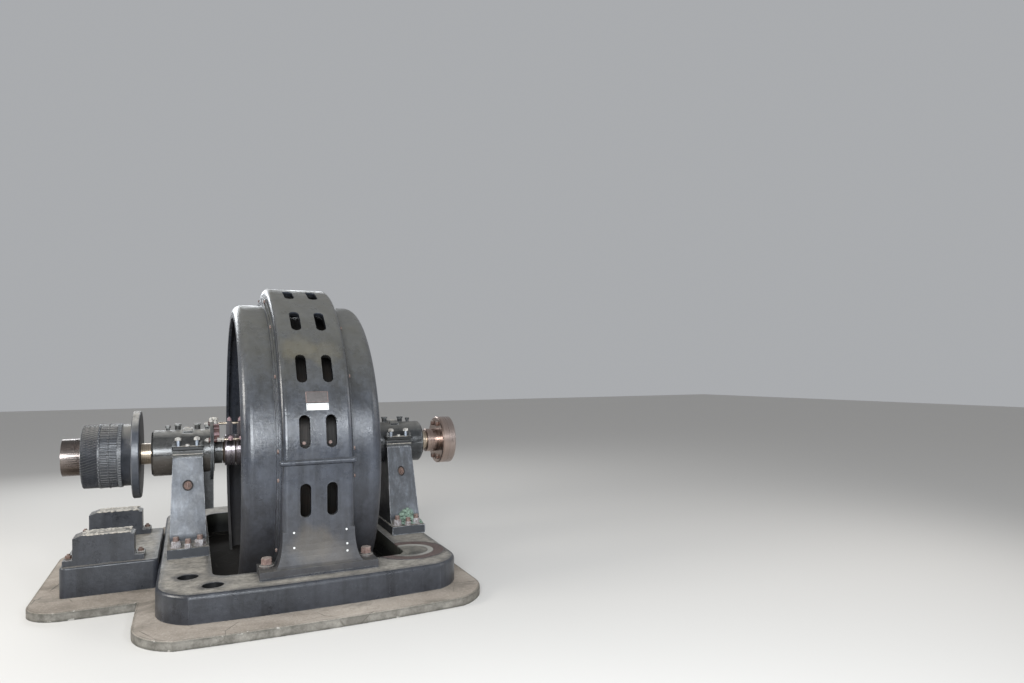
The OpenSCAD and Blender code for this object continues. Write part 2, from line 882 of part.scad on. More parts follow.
// Poles with their shoes
module rotor_poles() {
    shoe_in = pole_face_r - shoe_t;
    color("gray")
        intersection() {
            for (i = [0:poles - 1])
                at_turn(i * 360 / poles)
                    translate([0, 0, axle_h]) {
                        block([-pole_len / 2 + shoe_t / 2, -pole_core_w / 2, rim_r + seat_gap],
                            [pole_len / 2 - shoe_t / 2, pole_core_w / 2, shoe_in + eps]);
                        block([-pole_len / 2, -shoe_w / 2, shoe_in],
                            [pole_len / 2, shoe_w / 2, pole_face_r + eps]);
                    }
            spun(band(0, pole_face_r, -pole_len, pole_len));
        }
}

// Field coils, one round each pole's core
module field_coils() {
    low = rim_r + field_lift;
    high = pole_face_r - shoe_t - field_gap;
    in_x = pole_len / 2 - shoe_t / 2 + field_gap;
    in_y = pole_core_w / 2 + seat_gap;
    out_x = in_x + field_t;
    out_y = in_y + field_t;
    corner = field_t / 2;
    color("peru")
        for (i = [0:poles - 1])
            at_turn(i * 360 / poles)
                translate([0, 0, axle_h + low])
                    linear_extrude(high - low)
                        difference() {
                            polygon([[-out_x, corner - out_y], [corner - out_x, -out_y],
                                [out_x - corner, -out_y], [out_x, corner - out_y],
                                [out_x, out_y - corner], [out_x - corner, out_y],
                                [corner - out_x, out_y], [-out_x, out_y - corner]]);
                            square([2 * in_x, 2 * in_y], center = true);
                        }
}

// Insulating sleeve under the slip rings
module slip_ring_sleeve() {
    half = ring_w + ring_gap / 2 + sleeve_over;
    color("black")
        spun(band(ring_seat_r + seat_gap, ring_seat_r + sleeve_t, -rings_x - half, half - rings_x));
}

// Two slip rings
module slip_rings() {
    color("goldenrod")
        for (side = [-1, 1])
            spun(band(ring_seat_r + sleeve_t + seat_gap, ring_r,
                -rings_x + side * (ring_gap + ring_w) / 2 - ring_w / 2,
                -rings_x + side * (ring_gap + ring_w) / 2 + ring_w / 2));
}

// Where the yoke stands on the left housing's inner end
yoke_right = housing_in - left_x - yoke_back;
yoke_left = yoke_right - yoke_t;
// Angles of the brush rods over the front horizontal
rod_angles = [low_rod_angle, 90];

// Half width of a column at a height, along the shaft
function column_half(z) =
    column_low_x + (column_top_x - column_low_x) * (z - column_foot - column_toe)
    / (column_top - column_foot - column_toe);

// Yoke clamped round the left bearing's inner end, with a bracket down the pedestal's side
module brush_yoke() {
    side_low = column_half(yoke_foot_z) - left_x + seat_gap;
    side_high = column_half(column_top) - left_x + seat_gap;
    half_leg = yoke_leg_w / 2;
    color("dimgray")
        difference() {
            union() {
                spun(band(housing_r - eps, yoke_r, yoke_left, yoke_right));
                along_y(-half_leg, half_leg)
                    polygon([[side_low, yoke_foot_z], [yoke_right, yoke_foot_z],
                        [yoke_right, column_top], [side_high, column_top]]);
            }
            spun(band(0, housing_r + seat_gap, -far, far));
        }
}

// Rods that carry the brush holders
module brush_rods() {
    color("silver")
        for (a = rod_angles)
            at_angle(a)
                translate([yoke_right, 0, rod_orbit_r])
                    rotate([0, 90, 0])
                        cylinder(h = -rod_end - yoke_right, r = rod_r, $fn = small_fn);
}

// Brush holders on the rods, one over each slip ring
module brush_holders() {
    low = rod_orbit_r - rod_r - holder_over;
    high = rod_orbit_r + rod_r + holder_over;
    color("brown")
        difference() {
            for (a = rod_angles)
                for (ring = [-1, 1])
                    at_angle(a)
                        translate([-rings_x + ring * (ring_gap + ring_w) / 2, 0, 0]) {
                            block([-ring_w / 3, -brush_w / 2, ring_r - holder_dip],
                                [ring_w / 3, brush_w / 2, rod_orbit_r]);
                            block([-ring_w / 4, -rod_r - holder_over, low],
                                [ring_w / 4, rod_r + holder_over, high]);
                        }
            spun(band(0, ring_r + brush_gap, -far, far));
            for (a = rod_angles)
                at_angle(a)
                    translate([-left_x, 0, rod_orbit_r])
                        rotate([0, 90, 0])
                            cylinder(h = left_x, r = rod_r + seat_gap, $fn = small_fn);
        }
}

// A tapered pedestal at a place along the shaft, saddled under its housing
module pedestal(x) {
    toe_y = column_low_y + column_toe;
    toe_z = column_foot + column_toe;
    neck_x = column_top_x - groove_in;
    neck_y = column_top_y - groove_in;
    translate([x, 0, 0])
        difference() {
            union() {
                block([-base_x, -base_y, bed_top], [base_x, base_y, column_foot]);
                intersection() {
                    along_x(-base_x, base_x)
                        polygon(concat([[-column_top_y, column_top]],
                            arc(-toe_y, toe_z, column_toe, 0, -90, 5),
                            [[-toe_y, column_foot - eps], [toe_y, column_foot - eps]],
                            arc(toe_y, toe_z, column_toe, 270, 180, 5),
                            [[column_top_y, column_top]]));
                    along_y(-base_y, base_y)
                        polygon([[-column_low_x, column_foot - eps], [column_low_x, column_foot - eps],
                            [column_low_x, toe_z], [column_top_x, column_top],
                            [-column_top_x, column_top], [-column_low_x, toe_z]]);
                }
                block([-neck_x, -neck_y, column_top - eps], [neck_x, neck_y, joint_low]);
            }
            spun(band(0, housing_r + seat_gap, -far, far));
        }
}

module bearing_pedestal_left() {
    color("lightsteelblue")
        pedestal(-left_x);
}

module bearing_pedestal_right() {
    color("lightsteelblue")
        pedestal(right_x);
}

// A bearing housing's whole barrel about its pedestal, hollow for the bush and the shaft
module barrel(left, right) {
    edge = housing_edge;
    hole = shaft_r + end_gap;
    bush = bush_len / 2 + seat_gap;
    spun([[hole, -left], [housing_r - edge, -left], [housing_r, edge - left],
        [housing_r, right - edge], [housing_r - edge, right], [hole, right],
        [hole, bush], [bush_r + seat_gap, bush], [bush_r + seat_gap, -bush], [hole, -bush]]);
}

// A housing's own place, cut out of its joint flange
module barrel_space() {
    spun(band(0, housing_r - eps, -far, far));
}

// Half length and half depth of the joint flange
plate_x = column_top_x + joint_over;
plate_y = column_top_y + joint_over;

// Upright outline of the upper joint flange, with bevelled top edges
module bevelled(half) {
    high = axle_h + joint_high_t;
    polygon([[-half, axle_h], [half, axle_h], [half, high - joint_bevel], [half - joint_bevel, high],
        [joint_bevel - half, high], [-half, high - joint_bevel]]);
}

// Lower half of a housing
module bearing_base(x, left, right) {
    color("dimgray")
        translate([x, 0, 0]) {
            difference() {
                barrel(left, right);
                over(axle_h);
            }
            difference() {
                block([-plate_x, -plate_y, joint_low], [plate_x, plate_y, axle_h]);
                barrel_space();
            }
        }
}

// Upper half of a housing, with bosses for the oil lids and the plugs
module bearing_cap(x, left, right) {
    color("dimgray")
        translate([x, 0, 0]) {
            intersection() {
                barrel(left, right);
                over(axle_h);
            }
            difference() {
                intersection() {
                    along_x(-plate_x, plate_x)
                        bevelled(plate_y);
                    along_y(-plate_y, plate_y)
                        bevelled(plate_x);
                }
                barrel_space();
            }
            difference() {
                for (side = [-1, 1]) {
                    translate([side * lid_x, 0, axle_h + bush_r])
                        cylinder(h = housing_r + boss_h - bush_r, r = lid_r - boss_in, $fn = small_fn);
                    translate([side * 2 * lid_x, 0, axle_h + bush_r])
                        cylinder(h = housing_r + boss_h / 2 - bush_r, r = plug_boss_r, $fn = small_fn);
                }
                barrel_space();
            }
            intersection() {
                spun(band(housing_r - eps, housing_r + cap_pad_rise, -cap_pad_x, cap_pad_x));
                block([-far, -cap_pad_y, axle_h], [far, cap_pad_y, far]);
            }
        }
}

// Spigot on the left housing's inner end, whole round the shaft
module spigot_ring() {
    spun(band(shaft_r + end_gap, spigot_r, housing_in - left_x - eps, housing_in - left_x + spigot));
}

// Bearing bush round the shaft
module bearing_bush(x) {
    color("goldenrod")
        translate([x, 0, 0])
            spun(band(shaft_r + running_gap, bush_r, -bush_len / 2, bush_len / 2));
}

// Lids and plugs on top of a housing
module oil_lids(x) {
    color("gray")
        translate([x, 0, axle_h + housing_r])
            for (side = [-1, 1]) {
                translate([side * lid_x, 0, boss_h])
                    cylinder(h = lid_t, r = lid_r, $fn = small_fn);
                translate([side * 2 * lid_x, 0, boss_h / 2])
                    cylinder(h = plug_h, r = plug_r, $fn = 6);
            }
}

module bearing_base_left() {
    bearing_base(-left_x, left_out, housing_in);
    color("dimgray")
        difference() {
            spigot_ring();
            over(axle_h);
        }
}

module bearing_base_right() {
    bearing_base(right_x, right_in, right_out);
}

module bearing_cap_left() {
    bearing_cap(-left_x, left_out, housing_in);
    color("dimgray")
        intersection() {
            spigot_ring();
            over(axle_h);
        }
}

module bearing_cap_right() {
    bearing_cap(right_x, right_in, right_out);
}

module bearing_bush_left() {
    bearing_bush(-left_x);
}

module bearing_bush_right() {
    bearing_bush(right_x);
}

module oil_lids_left() {
    oil_lids(-left_x);
}

module oil_lids_right() {
    oil_lids(right_x);
}

// Flange disc between the armature and the bearing
module exciter_flange() {
    edge = exciter_flange_edge;
    seat = shaft_r + seat_gap;
    right = -exciter_flange_right;
    color("dimgray")
        spun([[seat, -armature_right], [exciter_flange_r - edge, -armature_right],
            [exciter_flange_r, edge - armature_right], [exciter_flange_r, right - edge],
            [exciter_flange_r - edge, right], [seat, right]]);
}

// Slotted core of the armature
module exciter_core() {
    color("darkslategray")
        difference() {
            spun(band(shaft_r + seat_gap, armature_r, -exciter_core_left, -exciter_core_right));
            for (i = [0:exciter_slots - 1])
                at_turn(i * 360 / exciter_slots)
                    block([-exciter_core_left - eps, -exciter_slot_w / 2, axle_h + armature_r - exciter_slot_d],
                        [eps - exciter_core_right, exciter_slot_w / 2, axle_h + armature_r + eps]);
        }
}

// Winding heads on both sides of the core
module exciter_winding() {
    head_r = armature_r - head_drop;
    hole = shaft_r + end_gap;
    color("black") {
        spun([[hole, -armature_left], [head_r - head_edge, -armature_left],
            [head_r, head_edge - armature_left], [head_r, -exciter_core_left], [hole, -exciter_core_left]]);
        spun(band(hole, head_r, -exciter_core_right, -armature_right));
    }
}

// Wire bands that bind the winding heads beside the core
module binding_bands() {
    band_r = armature_r - head_drop + seat_gap;
    color("gray") {
        spun(band(band_r, armature_r + eps, -exciter_core_left - band_gap - band_left_w,
            -exciter_core_left - band_gap));
        spun(band(band_r, armature_r + eps, band_gap - exciter_core_right,
            band_gap + band_right_w - exciter_core_right));
    }
}

// Commutator with its bars
module commutator() {
    riser_left = -armature_left - riser_t;
    color("rosybrown")
        difference() {
            union() {
                spun(band(shaft_r + seat_gap, commutator_r, -commutator_left, -armature_left));
                spun(band(commutator_r - eps, commutator_r + riser_h, riser_left, -armature_left));
            }
            for (i = [0:commutator_bars - 1])
                at_turn(i * 360 / commutator_bars)
                    block([-commutator_left - eps, -groove_w / 2, axle_h + commutator_r - groove_w],
                        [riser_left, groove_w / 2, axle_h + commutator_r + eps]);
        }
}

// Half coupling with its bolt circle
module coupling_half() {
    edge = coupling_bevel;
    seat = shaft_r + seat_gap;
    neck_left = coupling_left - coupling_neck;
    color("rosybrown")
        difference() {
            spun([[seat, neck_left], [coupling_neck_r - edge, neck_left], [coupling_neck_r, neck_left + edge],
                [coupling_neck_r, coupling_left], [coupling_r - edge, coupling_left],
                [coupling_r, coupling_left + edge], [coupling_r, coupling_right - edge],
                [coupling_r - edge, coupling_right], [seat, coupling_right]]);
            for (i = [0:bolt_holes - 1])
                at_turn((i + 0.5) * 360 / bolt_holes)
                    translate([coupling_left - eps, 0, axle_h + bolt_circle_d / 2])
                        rotate([0, 90, 0])
                            cylinder(h = coupling_t + 2 * eps, r = bolt_hole_r, $fn = small_fn);
        }
}

// Bed casting of the exciter
module exciter_bed() {
    right = bed_x / 2 + exciter_bed_joint;
    length = exciter_bed_left - right;
    color("dimgray")
        translate([-right - length / 2, 0, plinth_h])
            soft_slab(length, exciter_bed_y, exciter_bed_h, exciter_bed_corner_r, exciter_bed_edge_r);
}

// A foot of the exciter's missing field frame, with sloped shoulders and a flange at each end
module exciter_foot() {
    low = exciter_bed_top;
    high = low + exciter_foot_h;
    shoulder = high - shoulder_drop;
    left = -exciter_foot_left;
    right = -exciter_foot_right;
    color("dimgray")
        along_y(-exciter_foot_outer, -exciter_foot_inner)
            polygon([[left - exciter_toe, low], [right + exciter_toe, low],
                [right + exciter_toe, low + exciter_toe_t], [right, low + exciter_toe_t],
                [right, shoulder], [right - shoulder_x, high],
                [left + shoulder_x, high], [left, shoulder],
                [left, low + exciter_toe_t], [left - exciter_toe, low + exciter_toe_t]]);
}

module exciter_foot_front() {
    exciter_foot();
}

module exciter_foot_rear() {
    mirror([0, 1, 0])
        exciter_foot();
}

plinth();
bedplate();
stator_frame_lower();
stator_frame_upper();
split_beads();
end_cover_left();
end_cover_right();
stator_core();
core_clamp_rings();
stator_winding_left();
stator_winding_right();
shaft();
rotor_hub();
rotor_arms();
rotor_rim();
rotor_poles();
field_coils();
slip_ring_sleeve();
slip_rings();
brush_yoke();
brush_rods();
brush_holders();
bearing_pedestal_left();
bearing_pedestal_right();
bearing_base_left();
bearing_base_right();
bearing_cap_left();
bearing_cap_right();
bearing_bush_left();
bearing_bush_right();
oil_lids_left();
oil_lids_right();
exciter_flange();
exciter_core();
exciter_winding();
binding_bands();
commutator();
coupling_half();
exciter_bed();
exciter_foot_front();
exciter_foot_rear();
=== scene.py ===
"""Looks of the alternator: materials, bolts, windings and fittings round the CAD frame."""

import json
import math
import random

import bmesh
import bpy
from mathutils import Matrix, Vector


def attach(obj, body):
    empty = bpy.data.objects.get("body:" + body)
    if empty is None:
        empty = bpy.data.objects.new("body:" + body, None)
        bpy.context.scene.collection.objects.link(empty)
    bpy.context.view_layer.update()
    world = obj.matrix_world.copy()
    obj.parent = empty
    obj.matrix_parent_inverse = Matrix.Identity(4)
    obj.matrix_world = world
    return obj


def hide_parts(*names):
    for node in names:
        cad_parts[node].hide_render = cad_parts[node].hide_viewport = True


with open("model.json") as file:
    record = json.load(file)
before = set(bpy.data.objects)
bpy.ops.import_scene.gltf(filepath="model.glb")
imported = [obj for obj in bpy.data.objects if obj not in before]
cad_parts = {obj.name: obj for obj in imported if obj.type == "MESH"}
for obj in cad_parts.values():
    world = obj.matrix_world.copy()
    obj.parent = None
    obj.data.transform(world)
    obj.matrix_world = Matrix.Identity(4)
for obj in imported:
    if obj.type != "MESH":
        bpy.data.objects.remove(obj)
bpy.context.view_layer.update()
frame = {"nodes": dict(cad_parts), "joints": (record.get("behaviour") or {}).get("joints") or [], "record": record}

STAND = "stand"
ROTOR = "rotor"
TURN = 2 * math.pi
scene = bpy.context.scene
nodes = frame["nodes"]

# Places and sizes of the solids, in metres
AXIS_Z = frame["joints"][0]["pos_m"][2]
FRAME_R = 1.330
FRAME_WALL = 0.012
FRAME_HALF_W = 0.235
FLANGE_X = 0.252
FOOT_TOP = 0.298
PEDESTALS = {"left": -0.815, "right": 0.865}
BASE_TOP = 0.312
JOINT_TOP = 1.035
PIT_HALF_X = 0.6655
PIT_HALF_Y = 1.1365
PIT_TOP = 0.236
PIT_FLOOR = 0.021
BED_HOLE_RIM = 0.238
BED_HOLES = ((-0.815, -1.058), (-0.668, -1.321))
BED_HOLE_R = 0.0675
SEAT_CENTRE = (0.715, -1.048)


# Camera and light

EYE = (-0.789, -6.157, 1.603)
HEADING = math.radians(24.927)
ROLL = math.radians(-0.364)
LENS_MM = 24.29
SENSOR_MM = 36
LENS_SHIFT = 0.029
FLOOR_REACH = 30
# Name, place, where it points, size, watts and colour
LIGHTS = (
    ("window_front", (-1.7, -7.4, 3.0), (-0.5, 0, 1.1), (3.0, 2.2), 600, (0.90, 0.95, 1)),
    ("window_small", (1.8, -7.0, 3.3), (0.4, 0, 1.2), (0.9, 0.9), 110, (0.90, 0.95, 1)),
    ("window_left", (-5.5, -0.6, 3.4), (-0.3, 0, 0.7), (2.2, 1.8), 190, (1, 0.97, 0.92)),
    ("window_back", (-1.0, 6.0, 3.8), (0, 0, 1.2), (5.0, 1.6), 150, (0.93, 0.97, 1)),
    ("fill_right", (5.5, -3.0, 3.4), (0.2, 0, 1.0), (2.4, 2.4), 60, (1, 0.98, 0.96)))


def add_camera():
    """The photograph's view: a level camera at eye height with a small roll."""
    place = Vector(EYE)
    right = Vector((math.cos(HEADING), -math.sin(HEADING), 0))
    ahead = Vector((math.sin(HEADING), math.cos(HEADING), 0))
    up = Vector((0, 0, 1))
    across = right * math.cos(ROLL) + up * math.sin(ROLL)
    upward = up * math.cos(ROLL) - right * math.sin(ROLL)
    data = bpy.data.cameras.new("camera")
    data.lens = LENS_MM
    data.sensor_width = SENSOR_MM
    data.shift_y = LENS_SHIFT
    camera = bpy.data.objects.new("camera", data)
    camera.matrix_world = Matrix((
        (across.x, upward.x, -ahead.x, place.x),
        (across.y, upward.y, -ahead.y, place.y),
        (across.z, upward.z, -ahead.z, place.z),
        (0, 0, 0, 1)))
    scene.collection.objects.link(camera)
    scene.camera = camera


def add_light(name, place, aim, size, power, colour):
    """A soft rectangular light that points at a place."""
    data = bpy.data.lights.new(name, "AREA")
    data.shape = "RECTANGLE"
    data.size, data.size_y = size
    data.energy = power
    data.color = colour
    light = bpy.data.objects.new(name, data)
    light.location = place
    light.rotation_euler = (Vector(aim) - Vector(place)).to_track_quat("-Z", "Y").to_euler()
    scene.collection.objects.link(light)


def add_studio():
    """A pale floor, and soft light from above, the front and both sides."""
    corners = [(x * FLOOR_REACH, y * FLOOR_REACH, 0) for x, y in ((-1, -1), (1, -1), (1, 1), (-1, 1))]
    mesh = bpy.data.meshes.new("floor")
    mesh.from_pydata(corners, [], [(0, 1, 2, 3)])
    floor = bpy.data.objects.new("floor", mesh)
    scene.collection.objects.link(floor)
    material = bpy.data.materials.new("floor_pale")
    material.use_nodes = True
    shader = material.node_tree.nodes["Principled BSDF"]
    shader.inputs["Base Color"].default_value = (0.62, 0.60, 0.57, 1)
    shader.inputs["Roughness"].default_value = 0.7
    mesh.materials.append(material)
    world = bpy.data.worlds.new("studio")
    scene.world = world
    world.use_nodes = True
    background = world.node_tree.nodes["Background"]
    background.inputs["Color"].default_value = (0.80, 0.82, 0.85, 1)
    background.inputs["Strength"].default_value = 0.50
    for light in LIGHTS:
        add_light(*light)
    scene.view_settings.view_transform = "Standard"


# Materials

def times(colour, factor):
    """A colour made lighter or darker."""
    return tuple(c * factor for c in colour)


class Surface:
    """A node material under construction, in metres of the object's own space."""

    def __init__(self, name):
        self.material = bpy.data.materials.new(name)
        self.material.use_nodes = True
        self.tree = self.material.node_tree
        self.shader = self.tree.nodes["Principled BSDF"]
        self.place = self.node("TexCoord").outputs["Object"]

    def node(self, kind, inputs=None, **settings):
        """A new node, with its settings and what goes into it."""
        made = self.tree.nodes.new("ShaderNode" + kind)
        for key, value in settings.items():
            setattr(made, key, value)
        for key, value in (inputs or {}).items():
            self.join(value, made.inputs[key])
        return made

    def join(self, value, socket):
        """Link a socket, or set a plain value."""
        if isinstance(value, bpy.types.NodeSocket):
            self.tree.links.new(value, socket)
        else:
            socket.default_value = value

    def stretched(self, scale):
        return self.node("Mapping", {"Vector": self.place, "Scale": scale}).outputs["Vector"]

    def noise(self, scale, detail=4, rough=0.55, stretch=None, warp=0.0):
        """Cloudy noise around a half."""
        place = self.stretched(stretch) if stretch else self.place
        return self.node("TexNoise", {"Vector": place, "Scale": scale, "Detail": detail, "Roughness": rough,
                                      "Distortion": warp}).outputs["Fac"]

    def range(self, value, low, high, to_low=0.0, to_high=1.0):
        """A value carried from one range to another, and held at its ends."""
        return self.node("MapRange", {"Value": value, "From Min": low, "From Max": high, "To Min": to_low,
                                      "To Max": to_high}).outputs["Result"]

    def math(self, kind, a, b=0.0):
        return self.node("Math", {0: a, 1: b}, operation=kind).outputs[0]

    def product(self, value, *factors):
        """Values multiplied together."""
        for factor in factors:
            value = self.math("MULTIPLY", value, factor)
        return value

    def mix(self, factor, a, b):
        """A colour that goes from one to another by a factor."""
        a, b = ((*value, 1) if isinstance(value, tuple) else value for value in (a, b))
        return self.node("Mix", {"Factor": factor, 6: a, 7: b}, data_type="RGBA").outputs[2]

    def split(self, vector):
        """The three parts of a vector."""
        return tuple(self.node("SeparateXYZ", {0: vector}).outputs)

    def axes(self):
        return self.split(self.place)

    def normal(self):
        return self.node("NewGeometry").outputs["Normal"]

    def facing_up(self, low=0.55, high=0.95):
        """How much a place faces upward."""
        return self.range(self.split(self.normal())[2], low, high)

    def facing_ends(self):
        """How much a place faces along the shaft, either way."""
        return self.range(self.math("ABSOLUTE", self.split(self.normal())[0]), 0.6, 0.9)

    def patch(self, centre, reach):
        """A soft spot round a place, broken up at its edge."""
        away = self.node("VectorMath", {0: self.place, 1: centre}, operation="DISTANCE").outputs["Value"]
        ragged = self.product(self.math("ADD", self.noise(9, 3), 0.5), reach)
        return self.range(self.math("SUBTRACT", ragged, away), 0.0, reach * 0.5)

    def within(self, value, limit):
        """One where a value is under a limit, either side of zero."""
        return self.math("LESS_THAN", self.math("ABSOLUTE", value), limit)

    def inside(self, half_x, half_y, top):
        """One inside an upright box round the origin, under a height."""
        x, y, z = self.axes()
        return self.product(self.within(x, half_x), self.within(y, half_y),
                            self.math("LESS_THAN", z, top))

    def apart(self, a, b, centre):
        """Distance in a plane from a centre."""
        flat = self.node("CombineXYZ", {0: a, 1: b}).outputs[0]
        away = self.node("VectorMath", {0: flat, 1: (*centre, 0)}, operation="DISTANCE")
        return away.outputs["Value"]

    def from_shaft(self):
        """Distance from the shaft line."""
        x, y, z = self.axes()
        return self.apart(y, z, (0, AXIS_Z))

    def from_line(self, centre):
        """Distance from an upright line."""
        x, y, z = self.axes()
        return self.apart(x, y, centre)

    def ring(self, centre, r_in, r_out, soft=0.004):
        """One between two radii round an upright line."""
        away = self.from_line(centre)
        return self.product(self.range(away, r_in - soft, r_in + soft),
                            self.range(away, r_out + soft, r_out - soft))

    def sunk(self, centre, radius, top):
        """One inside an upright round hole, under its rim."""
        return self.product(self.math("LESS_THAN", self.from_line(centre), radius),
                            self.math("LESS_THAN", self.axes()[2], top))

    def waves(self, value, count):
        """A wave from -1 to 1."""
        return self.math("SINE", self.product(value, count))

    def round_lines(self, count):
        """A wave that runs round the shaft line a number of times."""
        x, y, z = self.axes()
        return self.waves(self.math("ARCTAN2", y, self.math("SUBTRACT", z, AXIS_Z)), count)

    def below(self, height, soft):
        """One under a height, with a ragged edge."""
        lifted = self.math("ADD", self.axes()[2], self.product(self.noise(24, 4, 0.7), 0.02))
        return self.range(lifted, height + soft, height - soft)

    def rounded(self, radius):
        """The direction that the surface faces, with its edges rounded."""
        return self.node("Bevel", {"Radius": radius}, samples=4).outputs["Normal"]

    def worn_edges(self, radius=0.012):
        """Where a rounded edge's direction leaves the face's own."""
        along = self.node("VectorMath", {0: self.rounded(radius), 1: self.normal()},
                          operation="DOT_PRODUCT")
        return self.range(along.outputs["Value"], 0.995, 0.90)

    def bump(self, layers, radius=None):
        """Bump layers of (height socket, depth in metres), over rounded edges."""
        normal = self.rounded(radius) if radius else None
        for height, depth in layers:
            inputs = {"Distance": depth, "Height": height}
            if normal:
                inputs["Normal"] = normal
            normal = self.node("Bump", inputs).outputs["Normal"]
        self.join(normal, self.shader.inputs["Normal"])

    def finish(self, colour, roughness, metallic=0.0):
        """The material, with its colour, roughness and metal set."""
        self.join(colour, self.shader.inputs["Base Color"])
        self.join(roughness, self.shader.inputs["Roughness"])
        self.shader.inputs["Metallic"].default_value = metallic
        return self.material


DUST = (0.34, 0.305, 0.255)
PALE_DUST = (0.50, 0.47, 0.42)
SHADOW = (0.006, 0.006, 0.006)
OLIVE = (0.118, 0.111, 0.086)


def paint_coat(s, dark, light, streaks, oil, smudges, borders):
    """Two tones of paint in clouds, wiped downward, oily and speckled, with painted shade along rounded edges
    where asked.
    """
    colour = s.mix(s.range(s.noise(1.7, 6, 0.6, warp=0.6), 0.35, 0.68), dark, light)
    colour = s.mix(s.range(s.noise(26, 5, 0.7), 0.40, 0.75, 0.0, 0.45), colour, times(light, 1.7))
    runs = s.noise(1, 5, 0.7, stretch=(30, 30, 1.8))
    colour = s.mix(s.range(runs, 0.48, 0.78, 0.0, streaks), colour, times(light, 2.4))
    oily = s.noise(1, 4, 0.6, stretch=(11, 11, 0.9))
    colour = s.mix(s.range(oily, 0.50, 0.66, 0.0, oil), colour, times(dark, 0.5))
    if smudges:
        dabs = s.range(s.noise(8, 6, 0.72, stretch=(1, 1, 0.4), warp=0.5), 0.44, 0.60, 0.0, smudges)
        colour = s.mix(dabs, colour, times(dark, 0.7))
    # Painted shade: rounded edges darkened, broken up by the oily clouds.
    if borders:
        shaded_rims = s.product(s.range(s.worn_edges(0.035), 0.0, 0.35), s.range(oily, 0.35, 0.55, 0.5, 1.0))
        colour = s.mix(s.product(shaded_rims, borders), colour, times(dark, 0.8))
    specks = s.range(s.noise(85, 3, 0.6), 0.66, 0.74, 0.0, 0.5)
    return s.mix(specks, colour, times(light, 2.6))


def aged_paint(name, dark, light, dust, gloss, streaks=0.25, oil=0.5, smudges=0.0, borders=0.0, foot=None,
               dark_ends=0.0, stains=(), lines=0, wear=0.35, worn=(0.20, 0.195, 0.19), flat=(0.55, 0.95),
               wiped=0.0, film=0.0, dust_colour=DUST, marks=None):
    """Old machine paint, stained, rubbed at its edges and dusty where it faces up; some paints also get painted
    shade at their ends and rims, and a painted glint on their pale edges.
    """
    s = Surface(name)
    colour = paint_coat(s, dark, light, streaks, oil, smudges, borders)
    layers = [(s.noise(3.2, 3, 0.5), 0.005), (s.noise(46, 4, 0.6), 0.0012), (s.noise(300, 2, 0.5), 0.0003)]
    rough = s.range(s.noise(6, 6, 0.7), 0.3, 0.75, gloss - 0.08, gloss + 0.18)
    if foot:
        height, tint, strength, soft = foot
        low = s.below(height, soft)
        colour = s.mix(s.product(low, strength), colour, tint)
        rough = s.math("ADD", rough, s.product(low, 0.3))
    # Painted shade: faces that look along the shaft are darkened, as sides turned from the light.
    if dark_ends:
        colour = s.mix(s.product(s.facing_ends(), dark_ends), colour, times(dark, 0.2))
    for centre, reach, tint, strength in stains:
        colour = s.mix(s.product(s.patch(centre, reach), strength), colour, tint)
    if lines:
        grooves = s.round_lines(lines)
        colour = s.mix(s.range(grooves, -0.2, 0.5, 0.0, 0.35), colour, times(dark, 0.4))
        layers.append((grooves, 0.0006))
    # Pale rubbed edges; on the pedestals their pale colour is also a painted glint along the edges.
    scuffs_and_glints = s.range(s.noise(7, 8, 0.75), 0.45, 0.62)
    colour = s.mix(s.product(s.worn_edges(), scuffs_and_glints, wear), colour, worn)
    if film:
        veil = s.product(s.facing_up(0.05, 0.85), s.range(s.noise(3, 6, 0.7), 0.3, 0.7, 0.6, 1.0),
                         s.range(s.axes()[2], 1.05, 1.60), film)
        colour = s.mix(veil, colour, OLIVE)
    settled = s.product(s.facing_up(*flat), s.range(s.noise(5, 6, 0.7), 0.25, 0.7, 0.45, 1.0), dust)
    if wiped:
        settled = s.product(settled, s.range(s.worn_edges(wiped), 0.0, 0.5, 1.0, 0.12))
    tone = s.mix(s.range(s.noise(19, 6, 0.75), 0.38, 0.62), times(dust_colour, 0.5), dust_colour)
    colour = s.mix(settled, colour, tone)
    if marks:
        colour = marks(s, colour, layers)
    s.bump(layers, 0.004)
    return s.finish(colour, s.math("ADD", s.product(settled, 0.4), rough))


def painted_slot_shade(s, colour, layers):
    """Painted shade, near black, on the inside of the frame behind its outer wall, as seen in the slots."""
    depth = s.math("LESS_THAN", s.from_shaft(), FRAME_R - FRAME_WALL)
    return s.mix(s.product(s.within(s.axes()[0], FRAME_HALF_W), depth, 0.85), colour, SHADOW)


def barrel_seam(s, colour, layers):
    """The thin dark line between a bearing's base and its cap."""
    off = s.math("ABSOLUTE", s.math("SUBTRACT", s.axes()[2], AXIS_Z))
    return s.mix(s.range(off, 0.0065, 0.004, 0.0, 0.85), colour, (0.008, 0.008, 0.008))


def bed_marks_and_shade(s, colour, layers):
    """The round seat on the bedplate, grey-green grime in its pit, and painted shade down the pit and in its two
    holes.
    """
    colour, lips = round_seat(s, colour)
    layers.append((lips, 0.003))
    pit = s.inside(PIT_HALF_X, PIT_HALF_Y, PIT_TOP)
    colour = s.mix(s.product(pit, 0.8), colour, (0.085, 0.088, 0.070))
    # Painted shade: darker down the pit, and near black inside the two holes.
    dark = s.product(pit, s.range(s.axes()[2], PIT_TOP, 0.130, 0.25, 1.0))
    for centre in BED_HOLES:
        dark = s.math("MAXIMUM", dark, s.sunk(centre, BED_HOLE_R, BED_HOLE_RIM))
    return s.mix(s.product(dark, 0.93), colour, SHADOW)


